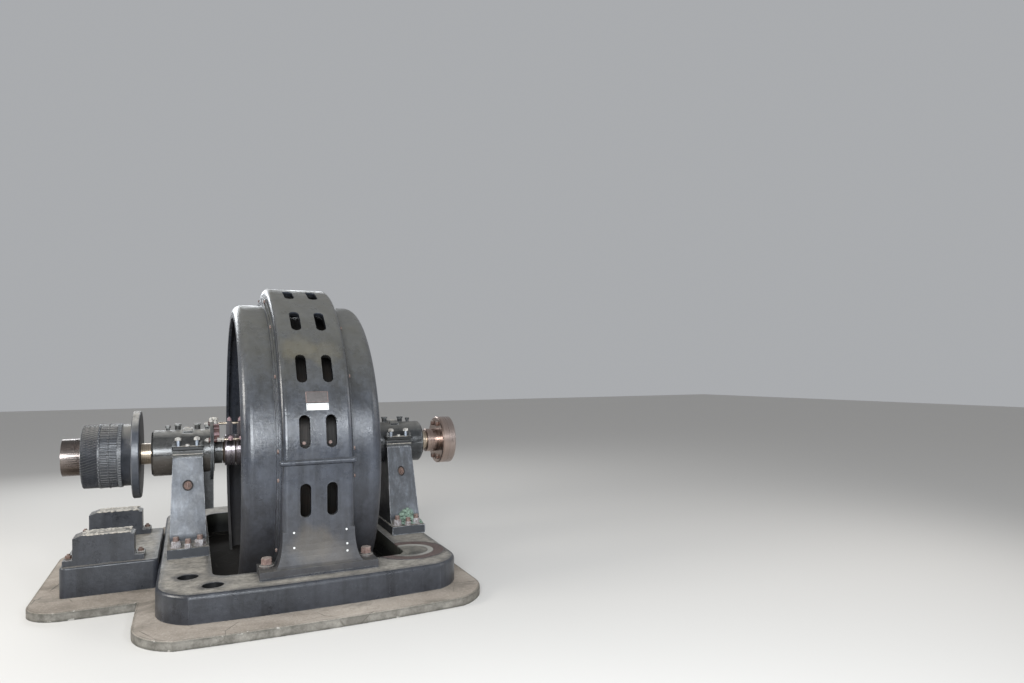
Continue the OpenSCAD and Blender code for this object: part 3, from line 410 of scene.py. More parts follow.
def round_seat(s, colour):
    """Rust on the bedplate's round seat, a dusty crescent inside it and lips at its rim."""
    inner = s.mix(s.range(s.noise(9, 5, 0.7), 0.4, 0.6), (0.085, 0.080, 0.066), (0.20, 0.185, 0.155))
    colour = s.mix(s.product(s.ring(SEAT_CENTRE, -0.1, 0.178), 0.75), colour, inner)
    crescent = s.range(s.axes()[0], SEAT_CENTRE[0] - 0.12, SEAT_CENTRE[0] + 0.04, 0.15, 0.85)
    colour = s.mix(s.product(s.ring(SEAT_CENTRE, 0.138, 0.178), crescent), colour, (0.37, 0.355, 0.32))
    away = s.from_line(SEAT_CENTRE)
    rust = s.mix(s.range(s.noise(60, 5, 0.7), 0.35, 0.65), (0.050, 0.030, 0.026), (0.125, 0.080, 0.070))
    rust = s.mix(s.range(s.waves(away, 900), 0.2, 1.0, 0.0, 0.4), rust, (0.15, 0.105, 0.095))
    patches = s.range(s.noise(14, 6, 0.75), 0.30, 0.62, 0.8, 1.0)
    colour = s.mix(s.product(s.ring(SEAT_CENTRE, 0.180, 0.258), patches), colour, rust)
    lips = s.product(s.ring(SEAT_CENTRE, 0.259, 0.286), s.range(s.waves(away, 480), 0.0, 1.0))
    return s.mix(s.product(lips, 0.75), colour, (0.085, 0.062, 0.055)), lips


def turned_metal(name, dark, light, gloss, rust=0.3, rust_colour=(0.12, 0.055, 0.035), metallic=0.85,
                 lines=0, smooth=False, bright_from=None):
    """Turned metal with fine rings round the shaft and patches of brown oxide."""
    s = Surface(name)
    rings = s.noise(1, 4, 0.6, stretch=(120, 0.35, 0.35))
    colour = s.mix(s.range(rings, 0.3, 0.7), dark, light)
    brown = s.range(s.noise(1, 6, 0.7, stretch=(12, 2.2, 2.2)), 0.50, 0.75, 0.0, rust)
    if lines:
        colour = s.mix(s.range(s.round_lines(lines), 0.6, 1.0, 0.0, 0.35), colour, times(dark, 0.4))
    colour = s.mix(brown, colour, rust_colour)
    if bright_from:
        bright = s.range(s.axes()[0], bright_from, bright_from + 0.05, 0.0, 0.6)
        colour = s.mix(bright, colour, (0.40, 0.345, 0.32))
    shine = gloss
    if not smooth:
        shine = s.range(rings, 0.3, 0.7, gloss, gloss + 0.12)
        s.bump([(rings, 0.0004)], 0.002)
    return s.finish(colour, s.math("ADD", s.product(brown, 0.35), shine), metallic)


def concrete(name):
    """Old trowelled concrete, pinkish on top, oily and grey-green at its edges."""
    s = Surface(name)
    broad = s.noise(1.1, 6, 0.6, warp=0.8)
    colour = s.mix(s.range(broad, 0.32, 0.66), (0.24, 0.205, 0.17), (0.44, 0.385, 0.33))
    grit = s.noise(75, 5, 0.8)
    colour = s.mix(s.range(grit, 0.50, 0.72, 0.0, 0.6), colour, (0.55, 0.50, 0.44))
    colour = s.mix(s.range(s.noise(33, 4, 0.8), 0.60, 0.72, 0.0, 0.6), colour, (0.12, 0.10, 0.08))
    oil = s.range(s.noise(2.6, 7, 0.7, warp=1.2), 0.52, 0.68, 0.0, 0.55)
    colour = s.mix(oil, colour, (0.11, 0.10, 0.08))
    riser = s.math("SUBTRACT", 1.0, s.facing_up(0.3, 0.8))
    green = s.mix(s.range(s.noise(11, 5, 0.75), 0.4, 0.65), (0.070, 0.068, 0.060), (0.205, 0.195, 0.172))
    colour = s.mix(s.product(riser, 0.8), colour, green)
    edge = s.product(s.worn_edges(0.03), s.range(s.noise(7, 5, 0.7), 0.25, 0.5), 0.85)
    colour = s.mix(edge, colour, (0.055, 0.055, 0.046))
    chips = s.product(s.worn_edges(0.02), s.range(s.noise(17, 3, 0.6), 0.64, 0.68))
    colour = s.mix(chips, colour, (0.66, 0.63, 0.58))
    # Painted shade: the plinth is near black inside the pit, in place of the deep pit's own darkness.
    pit = s.inside(PIT_HALF_X, PIT_HALF_Y, 0.058)
    colour = s.mix(s.product(pit, 0.95), colour, (0.010, 0.009, 0.008))
    cracks = s.node("TexVoronoi", {"Vector": s.place, "Scale": 2.2}, feature="DISTANCE_TO_EDGE")
    thin = s.range(cracks.outputs["Distance"], 0.0, 0.006, 1.0, 0.0)
    thin = s.product(thin, s.range(s.noise(2.0, 3), 0.52, 0.6))
    colour = s.mix(thin, colour, (0.06, 0.055, 0.045))
    s.bump([(s.noise(6, 5, 0.7), 0.012), (grit, 0.003)], 0.012)
    s.shader.inputs["Specular IOR Level"].default_value = 0.12
    return s.finish(colour, s.range(oil, 0, 0.7, 0.9, 0.7))


def wrapped(name, dark, light, band=90, gloss=0.6, along=(1, 0.15, 0.15), dust=0.4, dust_colour=DUST):
    """Varnished tape or cord wound round a bundle."""
    s = Surface(name)
    turns = s.node("TexWave", {"Vector": s.stretched(along), "Scale": band, "Distortion": 1.5, "Detail": 3},
                   bands_direction="X").outputs["Fac"]
    colour = s.mix(s.range(s.noise(8, 5, 0.7), 0.3, 0.7), dark, light)
    colour = s.mix(s.range(turns, 0.0, 0.5, 0.7, 0.0), colour, times(dark, 0.3))
    colour = s.mix(s.product(s.facing_up(), dust), colour, dust_colour)
    s.bump([(turns, 0.002), (s.noise(60, 3), 0.001)])
    return s.finish(colour, gloss)


def rusty(name, base, light, dust):
    """Fasteners with pinkish-brown rust over old paint."""
    s = Surface(name)
    colour = s.mix(s.range(s.noise(38, 5, 0.7), 0.35, 0.65), base, light)
    colour = s.mix(s.range(s.noise(90, 4, 0.7), 0.5, 0.7, 0.0, 0.8), colour, (0.10, 0.05, 0.035))
    colour = s.mix(s.product(s.facing_up(), dust), colour, PALE_DUST)
    s.bump([(s.noise(120, 4), 0.0015)], 0.003)
    return s.finish(colour, 0.62, 0.15)


def plain(name, colour, gloss, metallic, mottle):
    """A small part's finish: one colour, a little uneven."""
    s = Surface(name)
    shade = s.mix(s.range(s.noise(55, 4, 0.7), 0.35, 0.65), times(colour, 1 - mottle), colour)
    s.bump([(s.noise(160, 3), 0.0006)], 0.002)
    return s.finish(shade, gloss, metallic)


def laminated(name, dark, light):
    """Edges of stacked sheet steel."""
    s = Surface(name)
    sheets = s.noise(1, 2, 0.5, stretch=(420, 0.6, 0.6))
    colour = s.mix(s.range(sheets, 0.35, 0.65), dark, light)
    colour = s.mix(s.range(s.noise(6, 6, 0.7), 0.5, 0.7, 0.0, 0.6), colour, (0.040, 0.026, 0.018))
    s.bump([(sheets, 0.0008)], 0.002)
    return s.finish(colour, 0.5, 0.5)


# Stains: centre, reach, colour and strength
BELT_STAINS = (((-0.10, -1.05, 1.77), 0.14, (0.17, 0.14, 0.075), 0.28),
               ((0.08, -1.09, 1.75), 0.13, (0.16, 0.135, 0.08), 0.26),
               ((-0.07, -1.34, 0.44), 0.16, (0.105, 0.088, 0.066), 0.4),
               ((0.09, -1.34, 0.36), 0.14, (0.095, 0.080, 0.064), 0.35))
PEDESTAL_STAINS = (((0.885, -0.40, 0.37), 0.075, (0.15, 0.26, 0.20), 0.75),
                   ((0.845, -0.40, 0.335), 0.055, (0.17, 0.27, 0.215), 0.6))
BARREL_STAINS = (((-1.00, -0.14, 0.87), 0.15, (0.066, 0.054, 0.044), 0.65),
                 ((-0.70, -0.14, 0.87), 0.13, (0.066, 0.054, 0.044), 0.6))

PAINTS = {
    "frame_paint": dict(
        dark=(0.017, 0.019, 0.024), light=(0.045, 0.050, 0.062), dust=0.25, gloss=0.25, streaks=0.2,
        wear=0.2, foot=(0.58, (0.026, 0.022, 0.020), 0.65, 0.30), stains=BELT_STAINS, film=0.60,
        dust_colour=(0.24, 0.225, 0.185), marks=painted_slot_shade),
    "bed_paint": dict(
        dark=(0.013, 0.014, 0.017), light=(0.029, 0.031, 0.037), dust=1.0, gloss=0.30, streaks=0.2,
        wear=0.5, flat=(0.86, 0.999), wiped=0.09, dust_colour=(0.42, 0.385, 0.33), marks=bed_marks_and_shade),
    # The pedestals' pale edges are partly a painted glint; their darkened rims and ends are painted shade.
    "pedestal_paint": dict(
        dark=(0.025, 0.028, 0.035), light=(0.085, 0.094, 0.110), dust=0.8, gloss=0.40, streaks=0.6,
        oil=0.85, smudges=0.75, borders=0.75, foot=(0.380, (0.030, 0.032, 0.036), 0.93, 0.012),
        dark_ends=0.85, stains=PEDESTAL_STAINS, wear=1.0, worn=(0.50, 0.51, 0.53)),
    "housing_paint": dict(
        dark=(0.020, 0.020, 0.020), light=(0.055, 0.054, 0.051), dust=0.95, gloss=0.20, streaks=0.2,
        stains=BARREL_STAINS, wear=0.9, worn=(0.36, 0.37, 0.37), flat=(0.72, 0.97),
        dust_colour=(0.56, 0.53, 0.48), marks=barrel_seam),
    "housing_black": dict(
        dark=(0.014, 0.015, 0.016), light=(0.042, 0.044, 0.046), dust=0.8, gloss=0.20, streaks=0.1,
        wear=0.9, worn=(0.30, 0.31, 0.31), dust_colour=(0.22, 0.21, 0.19)),
    "rotor_iron": dict(dark=(0.030, 0.029, 0.028), light=(0.065, 0.06, 0.055), dust=0.2, gloss=0.5),
    "exciter_iron": dict(
        dark=(0.014, 0.015, 0.018), light=(0.036, 0.039, 0.046), dust=0.5, gloss=0.32, streaks=0.15,
        lines=120, dust_colour=PALE_DUST),
    "flange_iron": dict(
        dark=(0.022, 0.024, 0.029), light=(0.052, 0.057, 0.068), dust=0.95, gloss=0.30, streaks=0.15,
        dust_colour=PALE_DUST),
}
METALS = {
    "bright_steel": dict(
        dark=(0.30, 0.24, 0.18), light=(0.56, 0.48, 0.38), gloss=0.24, rust=0.5,
        rust_colour=(0.17, 0.10, 0.06)),
    "ring_metal": dict(dark=(0.20, 0.17, 0.18), light=(0.46, 0.42, 0.44), gloss=0.20),
    "commutator_copper": dict(
        dark=(0.165, 0.142, 0.130), light=(0.190, 0.163, 0.150), gloss=0.24, rust=0.25,
        rust_colour=(0.13, 0.088, 0.076), metallic=1.0, lines=110, smooth=True),
    "coupling_steel": dict(
        dark=(0.27, 0.195, 0.165), light=(0.45, 0.36, 0.315), gloss=0.22, rust=0.45,
        rust_colour=(0.19, 0.105, 0.08), metallic=1.0, bright_from=1.310),
    "brush_metal": dict(dark=(0.024, 0.022, 0.023), light=(0.078, 0.073, 0.077), gloss=0.30),
    "bearing_metal": dict(dark=(0.28, 0.20, 0.09), light=(0.50, 0.37, 0.18), gloss=0.3),
}
WRAPS = {
    "taped_coils": dict(dark=(0.10, 0.055, 0.028), light=(0.20, 0.125, 0.07)),
    "field_copper": dict(
        dark=(0.10, 0.045, 0.025), light=(0.22, 0.10, 0.055), band=60, gloss=0.45, along=(0.1, 1, 1)),
    "insulation": dict(dark=(0.05, 0.035, 0.028), light=(0.09, 0.065, 0.05), band=40, gloss=0.5),
    "exciter_coils": dict(
        dark=(0.016, 0.018, 0.022), light=(0.058, 0.062, 0.074), band=70, gloss=0.32, dust=0.55,
        dust_colour=PALE_DUST),
}
# Base, light and dust
FASTENERS = {
    "rust": ((0.10, 0.060, 0.050), (0.24, 0.170, 0.148), 0.3),
    "dark_nut": ((0.030, 0.028, 0.027), (0.11, 0.10, 0.095), 0.3),
    "pale_nut": ((0.30, 0.29, 0.27), (0.60, 0.58, 0.54), 0.8),
    "dust_crust": ((0.34, 0.31, 0.26), (0.58, 0.54, 0.47), 0.7),
    "stud_bright": ((0.13, 0.11, 0.105), (0.40, 0.39, 0.395), 0.3),
    "bolt_brown": ((0.060, 0.034, 0.026), (0.17, 0.10, 0.075), 0.5),
}
# Colour, gloss, metallic and mottle
PLAIN = {
    "verdigris": ((0.24, 0.33, 0.26), 0.85, 0, 0.6),
    "clamp_red": ((0.125, 0.062, 0.054), 0.45, 0, 0.7),
    "terminal_pink": ((0.44, 0.30, 0.31), 0.35, 0.4, 0.35),
    "terminal_cream": ((0.66, 0.62, 0.55), 0.5, 0, 0.45),
    "plate_brown": ((0.095, 0.084, 0.080), 0.42, 0.3, 0.3),
    "plate_white": ((0.60, 0.60, 0.58), 0.5, 0, 0.08),
    "cord_pale": ((0.26, 0.265, 0.265), 0.6, 0, 0.35),
    "band_dark": ((0.050, 0.052, 0.058), 0.38, 0, 0.35),
    "flange_black": ((0.009, 0.009, 0.009), 0.45, 0, 0.35),
    "lid_grey": ((0.26, 0.26, 0.245), 0.4, 0, 0.7),
    "stud_blue": ((0.40, 0.44, 0.50), 0.35, 0.5, 0.35),
    "plug_dark": ((0.018, 0.014, 0.013), 0.5, 0, 0.5),
}


def make_materials():
    """One material for each slot of the record, and more for what the scene adds."""
    made = {"concrete": concrete("concrete"),
            "laminations": laminated("laminations", (0.014, 0.013, 0.012), (0.034, 0.031, 0.028))}
    for make, rows in ((aged_paint, PAINTS), (turned_metal, METALS), (wrapped, WRAPS)):
        for name, settings in rows.items():
            made[name] = make(name, **settings)
    for make, rows in ((rusty, FASTENERS), (plain, PLAIN)):
        for name, settings in rows.items():
            made[name] = make(name, *settings)
    return made


paints = make_materials()


def dress_nodes():
    """Each CAD node gets the material of its slot, and a few a shade of their own."""
    for part in frame["record"]["subparts"]:
        mesh = nodes[part["node"]].data
        mesh.materials.clear()
        mesh.materials.append(paints[part["material_slot"]])
    shades = {"exciter_flange": "flange_iron", "binding_bands": "band_dark", "oil_lids_left": "lid_grey",
              "bearing_base_right": "housing_black", "bearing_cap_right": "housing_black",
              "oil_lids_right": "housing_black", "brush_yoke": "housing_black"}
    for name, shade in shades.items():
        nodes[name].data.materials[0] = paints[shade]


# Small parts

def at(x, y, z):
    """A matrix at a place."""
    return Matrix.Translation((x, y, z))


def facing(place, direction):
    """A matrix at a place whose Z points along a direction."""
    return Matrix.Translation(place) @ Vector(direction).to_track_quat("Z", "Y").to_matrix().to_4x4()


def spun():
    """A seeded turn about Z, for a hexagon's corners."""
    return Matrix.Rotation(random.uniform(0, TURN / 6), 4, "Z")


def round_shaft(x, radius, degrees):
    """A place round the shaft line, at an angle over the front horizontal, and its outward direction."""
    a = math.radians(degrees)
    outward = Vector((0, -math.cos(a), math.sin(a)))
    return Vector((x, 0, AXIS_Z)) + outward * radius, outward


def standing(x, radius, degrees):
    """A matrix round the shaft line whose Z points outward."""
    return facing(*round_shaft(x, radius, degrees))


def lying(x, radius, degrees, way=1):
    """A matrix round the shaft line whose Z points along it."""
    return facing(round_shaft(x, radius, degrees)[0], (way, 0, 0))


def sleeve(bore, outer, low, high):
    """The profile of a plain ring, or of a disc where the bore is 0."""
    return [(bore, low), (outer, low), (outer, high), (bore, high)]


class Piece:
    """Shapes gathered into one object that rides on a body."""

    def __init__(self, name, material, body=STAND):
        self.name = name
        self.material = material
        self.body = body
        self.mesh = bmesh.new()

    def skin(self, rings, sides):
        """Faces between rings of corners, where a ring may be one corner."""
        for low, high in zip(rings, rings[1:]):
            for i in range(sides):
                j = (i + 1) % sides
                corners = [low[i % len(low)], low[j % len(low)], high[j % len(high)], high[i % len(high)]]
                self.mesh.faces.new(list(dict.fromkeys(corners)))

    def lathe(self, matrix, profile, sides=20):
        """A profile of (radius, height) turned about the matrix's Z."""
        rings = []
        for radius, height in profile:
            count = sides if radius else 1
            rings.append([self.mesh.verts.new(matrix @ Vector((
                radius * math.cos(TURN * i / sides), radius * math.sin(TURN * i / sides), height)))
                for i in range(count)])
        self.skin(rings, sides)

    def box(self, matrix, size, bevel):
        """A box of a size about the matrix's own middle, with bevelled edges."""
        made = bmesh.ops.create_cube(self.mesh, size=1, matrix=matrix @ Matrix.Diagonal((*size, 1)))
        edges = dict.fromkeys(edge for vert in made["verts"] for edge in vert.link_edges)
        bmesh.ops.bevel(self.mesh, geom=list(edges), offset=bevel, segments=1, affect="EDGES")

    def sweep(self, points, radius, sides):
        """A closed round bar along points."""
        points = [Vector(p) for p in points]
        rings = []
        for i, point in enumerate(points):
            ahead = (points[min(i + 1, len(points) - 1)] - points[max(i - 1, 0)]).normalized()
            side = ahead.cross(Vector((1, 0, 0)))
            if side.length < 0.1:
                side = ahead.cross(Vector((0, 0, 1)))
            side.normalize()
            lift = side.cross(ahead)
            rings.append([self.mesh.verts.new(point + radius * (
                side * math.cos(TURN * k / sides) + lift * math.sin(TURN * k / sides)))
                for k in range(sides)])
        self.skin(rings, sides)
        self.mesh.faces.new(list(reversed(rings[0])))
        self.mesh.faces.new(rings[-1])

    def bolt(self, matrix, across, height, washer=0.0, stud=0.0, dome=0.15):
        """A hexagon nut or head, with a washer under it and a stud's end over it."""
        r = across / 2 / math.cos(TURN / 12)
        if washer:
            self.lathe(matrix, sleeve(0, across * 0.68, 0, washer))
        lift = matrix @ at(0, 0, washer)
        self.lathe(lift, [(0, 0), (r, 0), (r, height * (1 - dome)), (r * 0.86, height), (0, height)], 6)
        if stud:
            thread = across * 0.3
            self.lathe(lift, [(thread, height - 0.001), (thread, height + stud * 0.85),
                              (thread * 0.8, height + stud), (0, height + stud)], 14)

    def cut(self, place, normal):
        """Take away what lies beyond a plane, and close the cut."""
        everything = self.mesh.verts[:] + self.mesh.edges[:] + self.mesh.faces[:]
        made = bmesh.ops.bisect_plane(self.mesh, geom=everything, plane_co=place, plane_no=normal,
                                      clear_outer=True)
        edges = [item for item in made["geom_cut"] if isinstance(item, bmesh.types.BMEdge)]
        bmesh.ops.edgeloop_fill(self.mesh, edges=edges)

    def lump(self, place, size):
        """A small rough lump, pressed to its three half sizes."""
        shape = at(*place) @ spun() @ Matrix.Diagonal((*size, 1))
        made = bmesh.ops.create_icosphere(self.mesh, subdivisions=1, radius=1, matrix=shape)
        for vert in made["verts"]:
            vert.co += Vector((random.uniform(-1, 1) for axis in range(3))) * min(size) * 0.25

    def done(self, slot, sharp=35):
        """The finished object, on its body."""
        bmesh.ops.remove_doubles(self.mesh, verts=self.mesh.verts[:], dist=0.000002)
        bmesh.ops.recalc_face_normals(self.mesh, faces=self.mesh.faces)
        mesh = bpy.data.meshes.new(self.name)
        self.mesh.to_mesh(mesh)
        self.mesh.free()
        mesh.materials.append(paints[self.material])
        mesh.shade_smooth()
        mesh.set_sharp_from_angle(angle=math.radians(sharp))
        made = bpy.data.objects.new(self.name, mesh)
        scene.collection.objects.link(made)
        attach(made, self.body)
        return made


# Stator

SCREW_R = 1.248
SCREW_ANGLES = (-29, -4.5, 4.5, 29, 51, 73.75, 96, 118, 140, 162, 175.5, 184.5, 209)
FOOT_BOLT_X = 0.335
FOOT_BOLT_Y = 1.250
SLOT_X = 0.089
WHITE_DOTS = ((-0.167, 0.526), (-0.167, 0.426), (0.183, 0.517), (0.186, 0.420), (0.185, 0.372))
# Plates: material, lower and upper edge in degrees, left and right edge, thickness
PLATES = {
    "plate_back": ("rust", 18.70, 22.08, -0.074, 0.078, 0.0012),
    "plate_upper": ("plate_brown", 18.82, 21.94, -0.069, 0.073, 0.002),
    "plate_lower": ("plate_white", 16.3, 18.4, -0.072, 0.078, 0.002),
}
PINNED = ((18.75, 22.0, -0.072, 0.076), (16.3, 18.4, -0.072, 0.078))
PLATE_STEPS = 6


def add_frame_fittings():
    """Cover screws, foot bolts, white dots and blank plates."""
    screws = Piece("cover_screws", "rust")
    for side in (-1, 1):
        for degrees in SCREW_ANGLES:
            screws.bolt(lying(side * FLANGE_X, SCREW_R, degrees, side) @ spun(), 0.024, 0.011)
    screws.done("frame_paint")

    bolts = Piece("foot_bolts", "rust")
    collars = Piece("foot_bolt_nuts", "dark_nut")
    collar = [(0, 0), (0.050, 0), (0.050, 0.012), (0.040, 0.016), (0.040, 0.022), (0, 0.022)]
    for x in (-FOOT_BOLT_X, FOOT_BOLT_X):
        for y in (-FOOT_BOLT_Y, FOOT_BOLT_Y):
            collars.lathe(at(x, y, FOOT_TOP), collar, 24)
            bolts.bolt(at(x, y, FOOT_TOP + 0.020) @ spun(), 0.066, 0.044, dome=0.1)
    bolts.done("frame_paint")
    collars.done("frame_paint")

    dots = Piece("white_dots", "plate_white")
    for x, z in WHITE_DOTS:
        depth, outward = leg_face(z)
        dots.lathe(facing((x, -depth, z), outward), [(0.008, -0.001), (0.007, 0.002), (0, 0.003)], 12)
    dots.done("frame_paint")

    for name, edges in PLATES.items():
        add_curved_plate(name, *edges)
    pins = Piece("plate_pins", "dark_nut")
    pin = [(0.003, 0), (0.0025, 0.001), (0, 0.0015)]
    for low, high, left, right in PINNED:
        for degrees in (low + 0.35, high - 0.35):
            for x in (left + 0.008, right - 0.008):
                pins.lathe(standing(x, FRAME_R + 0.002, degrees), pin, 8)
    pins.done("frame_paint")

    ends = Piece("slot_bolt_ends", "rust")
    for x in (-SLOT_X, SLOT_X):
        place, outward = round_shaft(x, FRAME_R - 0.040, 6.7)
        ends.bolt(facing(place - outward * 0.03, outward) @ spun(), 0.024, 0.018)
    ends.done("frame_paint")


def leg_face(z, centre_z=0.531, reach=0.233, rise=0.058):
    """Depth of the leg's flared front face at a height, and its outward direction."""
    sine = (centre_z - z) / reach
    cosine = math.sqrt(1 - sine * sine)
    return 1.388 - rise * cosine, Vector((0, -reach * cosine, rise * sine))


def add_curved_plate(name, material, low, high, left, right, thick):
    """A blank plate bent to the frame's belt."""
    plate = Piece(name, material)
    grid = {}
    for i in range(PLATE_STEPS + 1):
        degrees = low + (high - low) * i / PLATE_STEPS
        for j, x in enumerate((left, right)):
            for k, radius in enumerate((FRAME_R - 0.001, FRAME_R + thick)):
                grid[i, j, k] = plate.mesh.verts.new(round_shaft(x, radius, degrees)[0])
    for i in range(PLATE_STEPS):
        for j, k, m, n in ((0, 1, 1, 1), (0, 0, 1, 0), (0, 0, 0, 1), (1, 0, 1, 1)):
            plate.mesh.faces.new([grid[i, j, k], grid[i, m, n], grid[i + 1, m, n], grid[i + 1, j, k]])
    for i in (0, PLATE_STEPS):
        plate.mesh.faces.new([grid[i, 0, 0], grid[i, 1, 0], grid[i, 1, 1], grid[i, 0, 1]])
    plate.done("frame_paint")


def add_seat():
    """The bedplate's round seat: flat rust between two dusty lands, clear of the pit."""
    profile = [(0, -0.0005), (0.2625, -0.0005), (0.2620, 0.0030), (0.2595, 0.0036), (0.257, 0.0018),
               (0.180, 0.0018), (0.178, 0.0034), (0.139, 0.0034), (0.137, 0.0020), (0, 0.0020)]
    pit_side = (0.667, 0, 0)
    pit_front = (0, -1.138, 0)
    for name, cuts in (("seat_right", ((pit_side, (-1, 0, 0)),)),
                       ("seat_front", ((pit_side, (1, 0, 0)), (pit_front, (0, 1, 0))))):
        seat = Piece(name, "bed_paint")
        seat.lathe(at(*SEAT_CENTRE, 0.2422), profile, 120)
        for place, normal in cuts:
            seat.cut(place, normal)
        seat.done("bed_paint")


COIL_LOOPS = 18
CORE_FACE = 0.200
COIL_BASE_R = 0.930
COIL_SPAN = 0.375
# Reach from the core's face and rise, for the straight and the bent tier
TIERS = ((0.1325, 0.0), (0.0605, 0.093))
TOP_STEPS = 8


def add_windings():
    """Taped coil ends: a straight tier and a bent tier on each side of the core."""
    pitch = TURN / COIL_LOOPS
    for side, label in ((-1, "left"), (1, "right")):
        coils = Piece(f"coil_ends_{label}", "taped_coils")
        for i in range(COIL_LOOPS):
            for tier in (0, 1):
                coils.sweep(coil_path(side, (i + tier / 2) * pitch, pitch * COIL_SPAN, tier), 0.0185, 10)
        for vert in coils.mesh.verts:
            vert.co.z = max(vert.co.z, PIT_FLOOR)
        made = coils.done("taped_coils", 60)
        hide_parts(f"stator_winding_{label}")


def coil_path(side, middle, half_span, tier):
    """The centre line of one coil end, from the core's face and back to it."""
    reach, rise = TIERS[tier]
    leg = [(CORE_FACE, 0), (CORE_FACE + reach * 0.55, 0)]
    for t in (0.5, 1.0, 1.45):
        leg.append((CORE_FACE + reach * (0.55 + 0.45 * math.sin(t)), rise * (1 - math.cos(t))))
    if tier:
        leg.append((CORE_FACE + reach, rise * 0.95))
    path = [(x, lift, middle - half_span) for x, lift in leg]
    path += [(CORE_FACE + reach, rise, middle - half_span + 2 * half_span * k / TOP_STEPS)
             for k in range(1, TOP_STEPS)]
    path += [(x, lift, middle + half_span) for x, lift in reversed(leg)]
    return [(side * x, (COIL_BASE_R + lift) * math.sin(a), AXIS_Z + (COIL_BASE_R + lift) * math.cos(a))
            for x, lift, a in path]


# Bearings

# Base nuts of one side: shift along the shaft, depth, width over flats and height
BASE_NUTS = ((-0.082, 0.461, 0.062, 0.042), (0.0, 0.500, 0.042, 0.028), (0.080, 0.461, 0.062, 0.042))
# Half width and half height of the plug in each pedestal's front
PLUGS = {"left": (0.038, 0.043), "right": (0.032, 0.044)}
PLUG_Z = 0.742


def add_bearing_fittings():
    """Base nuts, joint studs, lugs, flanges and plugs of both pedestals."""
    base = Piece("base_nuts", "stud_bright")
    tops = Piece("base_studs", "rust")
    stems = Piece("joint_studs", "stud_blue")
    heads = Piece("joint_stud_heads", "pale_nut")
    lugs = Piece("joint_lugs", "housing_paint")
    stud_end = [(0.020, 0), (0.020, 0.034), (0.016, 0.038), (0, 0.038)]
    for x in PEDESTALS.values():
        for side in (-1, 1):
            for dx, dy, across, tall in BASE_NUTS:
                spot = at(x + dx, side * dy, BASE_TOP) @ spun()
                base.bolt(spot, across, tall, washer=0.005)
                tops.lathe(spot @ at(0, 0, tall), stud_end, 14)
            for dx in (-0.066, 0.066):
                spot = at(x + dx, side * 0.212, JOINT_TOP)
                stems.lathe(spot, sleeve(0, 0.013, -0.004, 0.048), 16)
                heads.bolt(spot @ at(0, 0, 0.046) @ spun(), 0.043, 0.022, stud=0.004)
                lug = at(x + dx * 1.47, side * 0.220, JOINT_TOP) @ spun()
                lugs.bolt(lug, 0.026, 0.026, washer=0.004, stud=0.010)
            heads.bolt(at(x, side * 0.224, JOINT_TOP), 0.026, 0.018)
    for piece in (base, tops):
        piece.done("pedestal_paint")
    for piece in (stems, heads, lugs):
        piece.done("housing_paint")
    for label, x in PEDESTALS.items():
        add_face_plug(f"plug_{label}", x, PLUG_Z, *PLUGS[label])
    for label, x in PEDESTALS.items():
        add_joint_flanges(label, x)


def add_joint_flanges(label, x):
    """The flanges at a bearing's joint, with dust at their edges and a hump on the barrel."""
    top = Piece(f"joint_flange_{label}", "flange_black")
    line = Piece(f"joint_edge_{label}", "dust_crust")
    for side in (-1, 1):
        top.box(at(x, side * 0.199, JOINT_TOP - 0.0145), (0.220, 0.088, 0.029), 0.005)
        line.box(at(x, side * 0.199, JOINT_TOP), (0.206, 0.074, 0.003), 0.001)
        line.box(at(x, side * 0.2435, 0.9755), (0.216, 0.004, 0.005), 0.001)
    hump = [(0, -0.006), (0.040, -0.006), (0.038, 0.008), (0.024, 0.020), (0, 0.024)]
    line.lathe(at(x, 0, 1.148), hump, 24)
    top.done("housing_paint")
    line.done("housing_paint")


def column_face(z):
    """Depth of a pedestal's sloped front face at a height, and its outward direction."""
    low, high = Vector((0.395, 0.390)), Vector((0.239, 0.947))
    share = (z - low.y) / (high.y - low.y)
    slope = (high - low).normalized()
    return low.x + (high.x - low.x) * share, Vector((0, -slope.y, -slope.x))


def add_face_plug(name, x, z, half_w, half_h):
    """A rusty rimmed plug in a pedestal's front face, with a dark hollow and a stub."""
    depth, outward = column_face(z)
    spot = facing((x, -depth, z), outward) @ Matrix.Diagonal((1, half_h / half_w, 1, 1))
    w = half_w
    rim = Piece(name + "_rim", "plug_dark")
    rim.lathe(spot, [(w, -0.002), (w, 0.004), (w * 0.84, 0.006), (w * 0.74, 0.002), (w * 0.72, -0.002)], 28)
    hollow = Piece(name + "_hollow", "bolt_brown")
    hollow.lathe(spot, [(w * 0.80, 0.0012), (w * 0.3, 0.0006), (0, 0.0006)], 24)
    stub = Piece(name + "_stub", "rust")
    stub.box(spot @ at(0, 0, 0.003), (w * 0.28, w * 0.9, 0.008), 0.002)
    for piece in (rim, hollow, stub):
        piece.done("pedestal_paint")


# Brush gear

YOKE_LEFT = -0.652
YOKE_RIGHT = -0.628
YOKE_BOSS = 0.014
ROD_R = 0.220
ROD_HOLE = 0.0102
ROD_ANGLES = (28, 90)
RINGS = (-0.504, -0.420)
BUSH_R = 0.019
CLAMP_BLOCKS = 9
PINK_BLOCKS = (1, 4, 7)
SPRING_R = 0.007
SPRING_PITCH = 0.0016
SPRING_WIRE = 0.0016
# Angle, place along the shaft and radius of the nuts and the blocks on top of the yoke
TOP_NUTS = ((84, -0.640, 0.238), (96, -0.640, 0.238), (79, -0.610, 0.224), (87, -0.606, 0.238))
TOP_BLOCKS = ((87, -0.646, 0.252), (93, -0.622, 0.258), (84, -0.604, 0.246), (96, -0.598, 0.252))


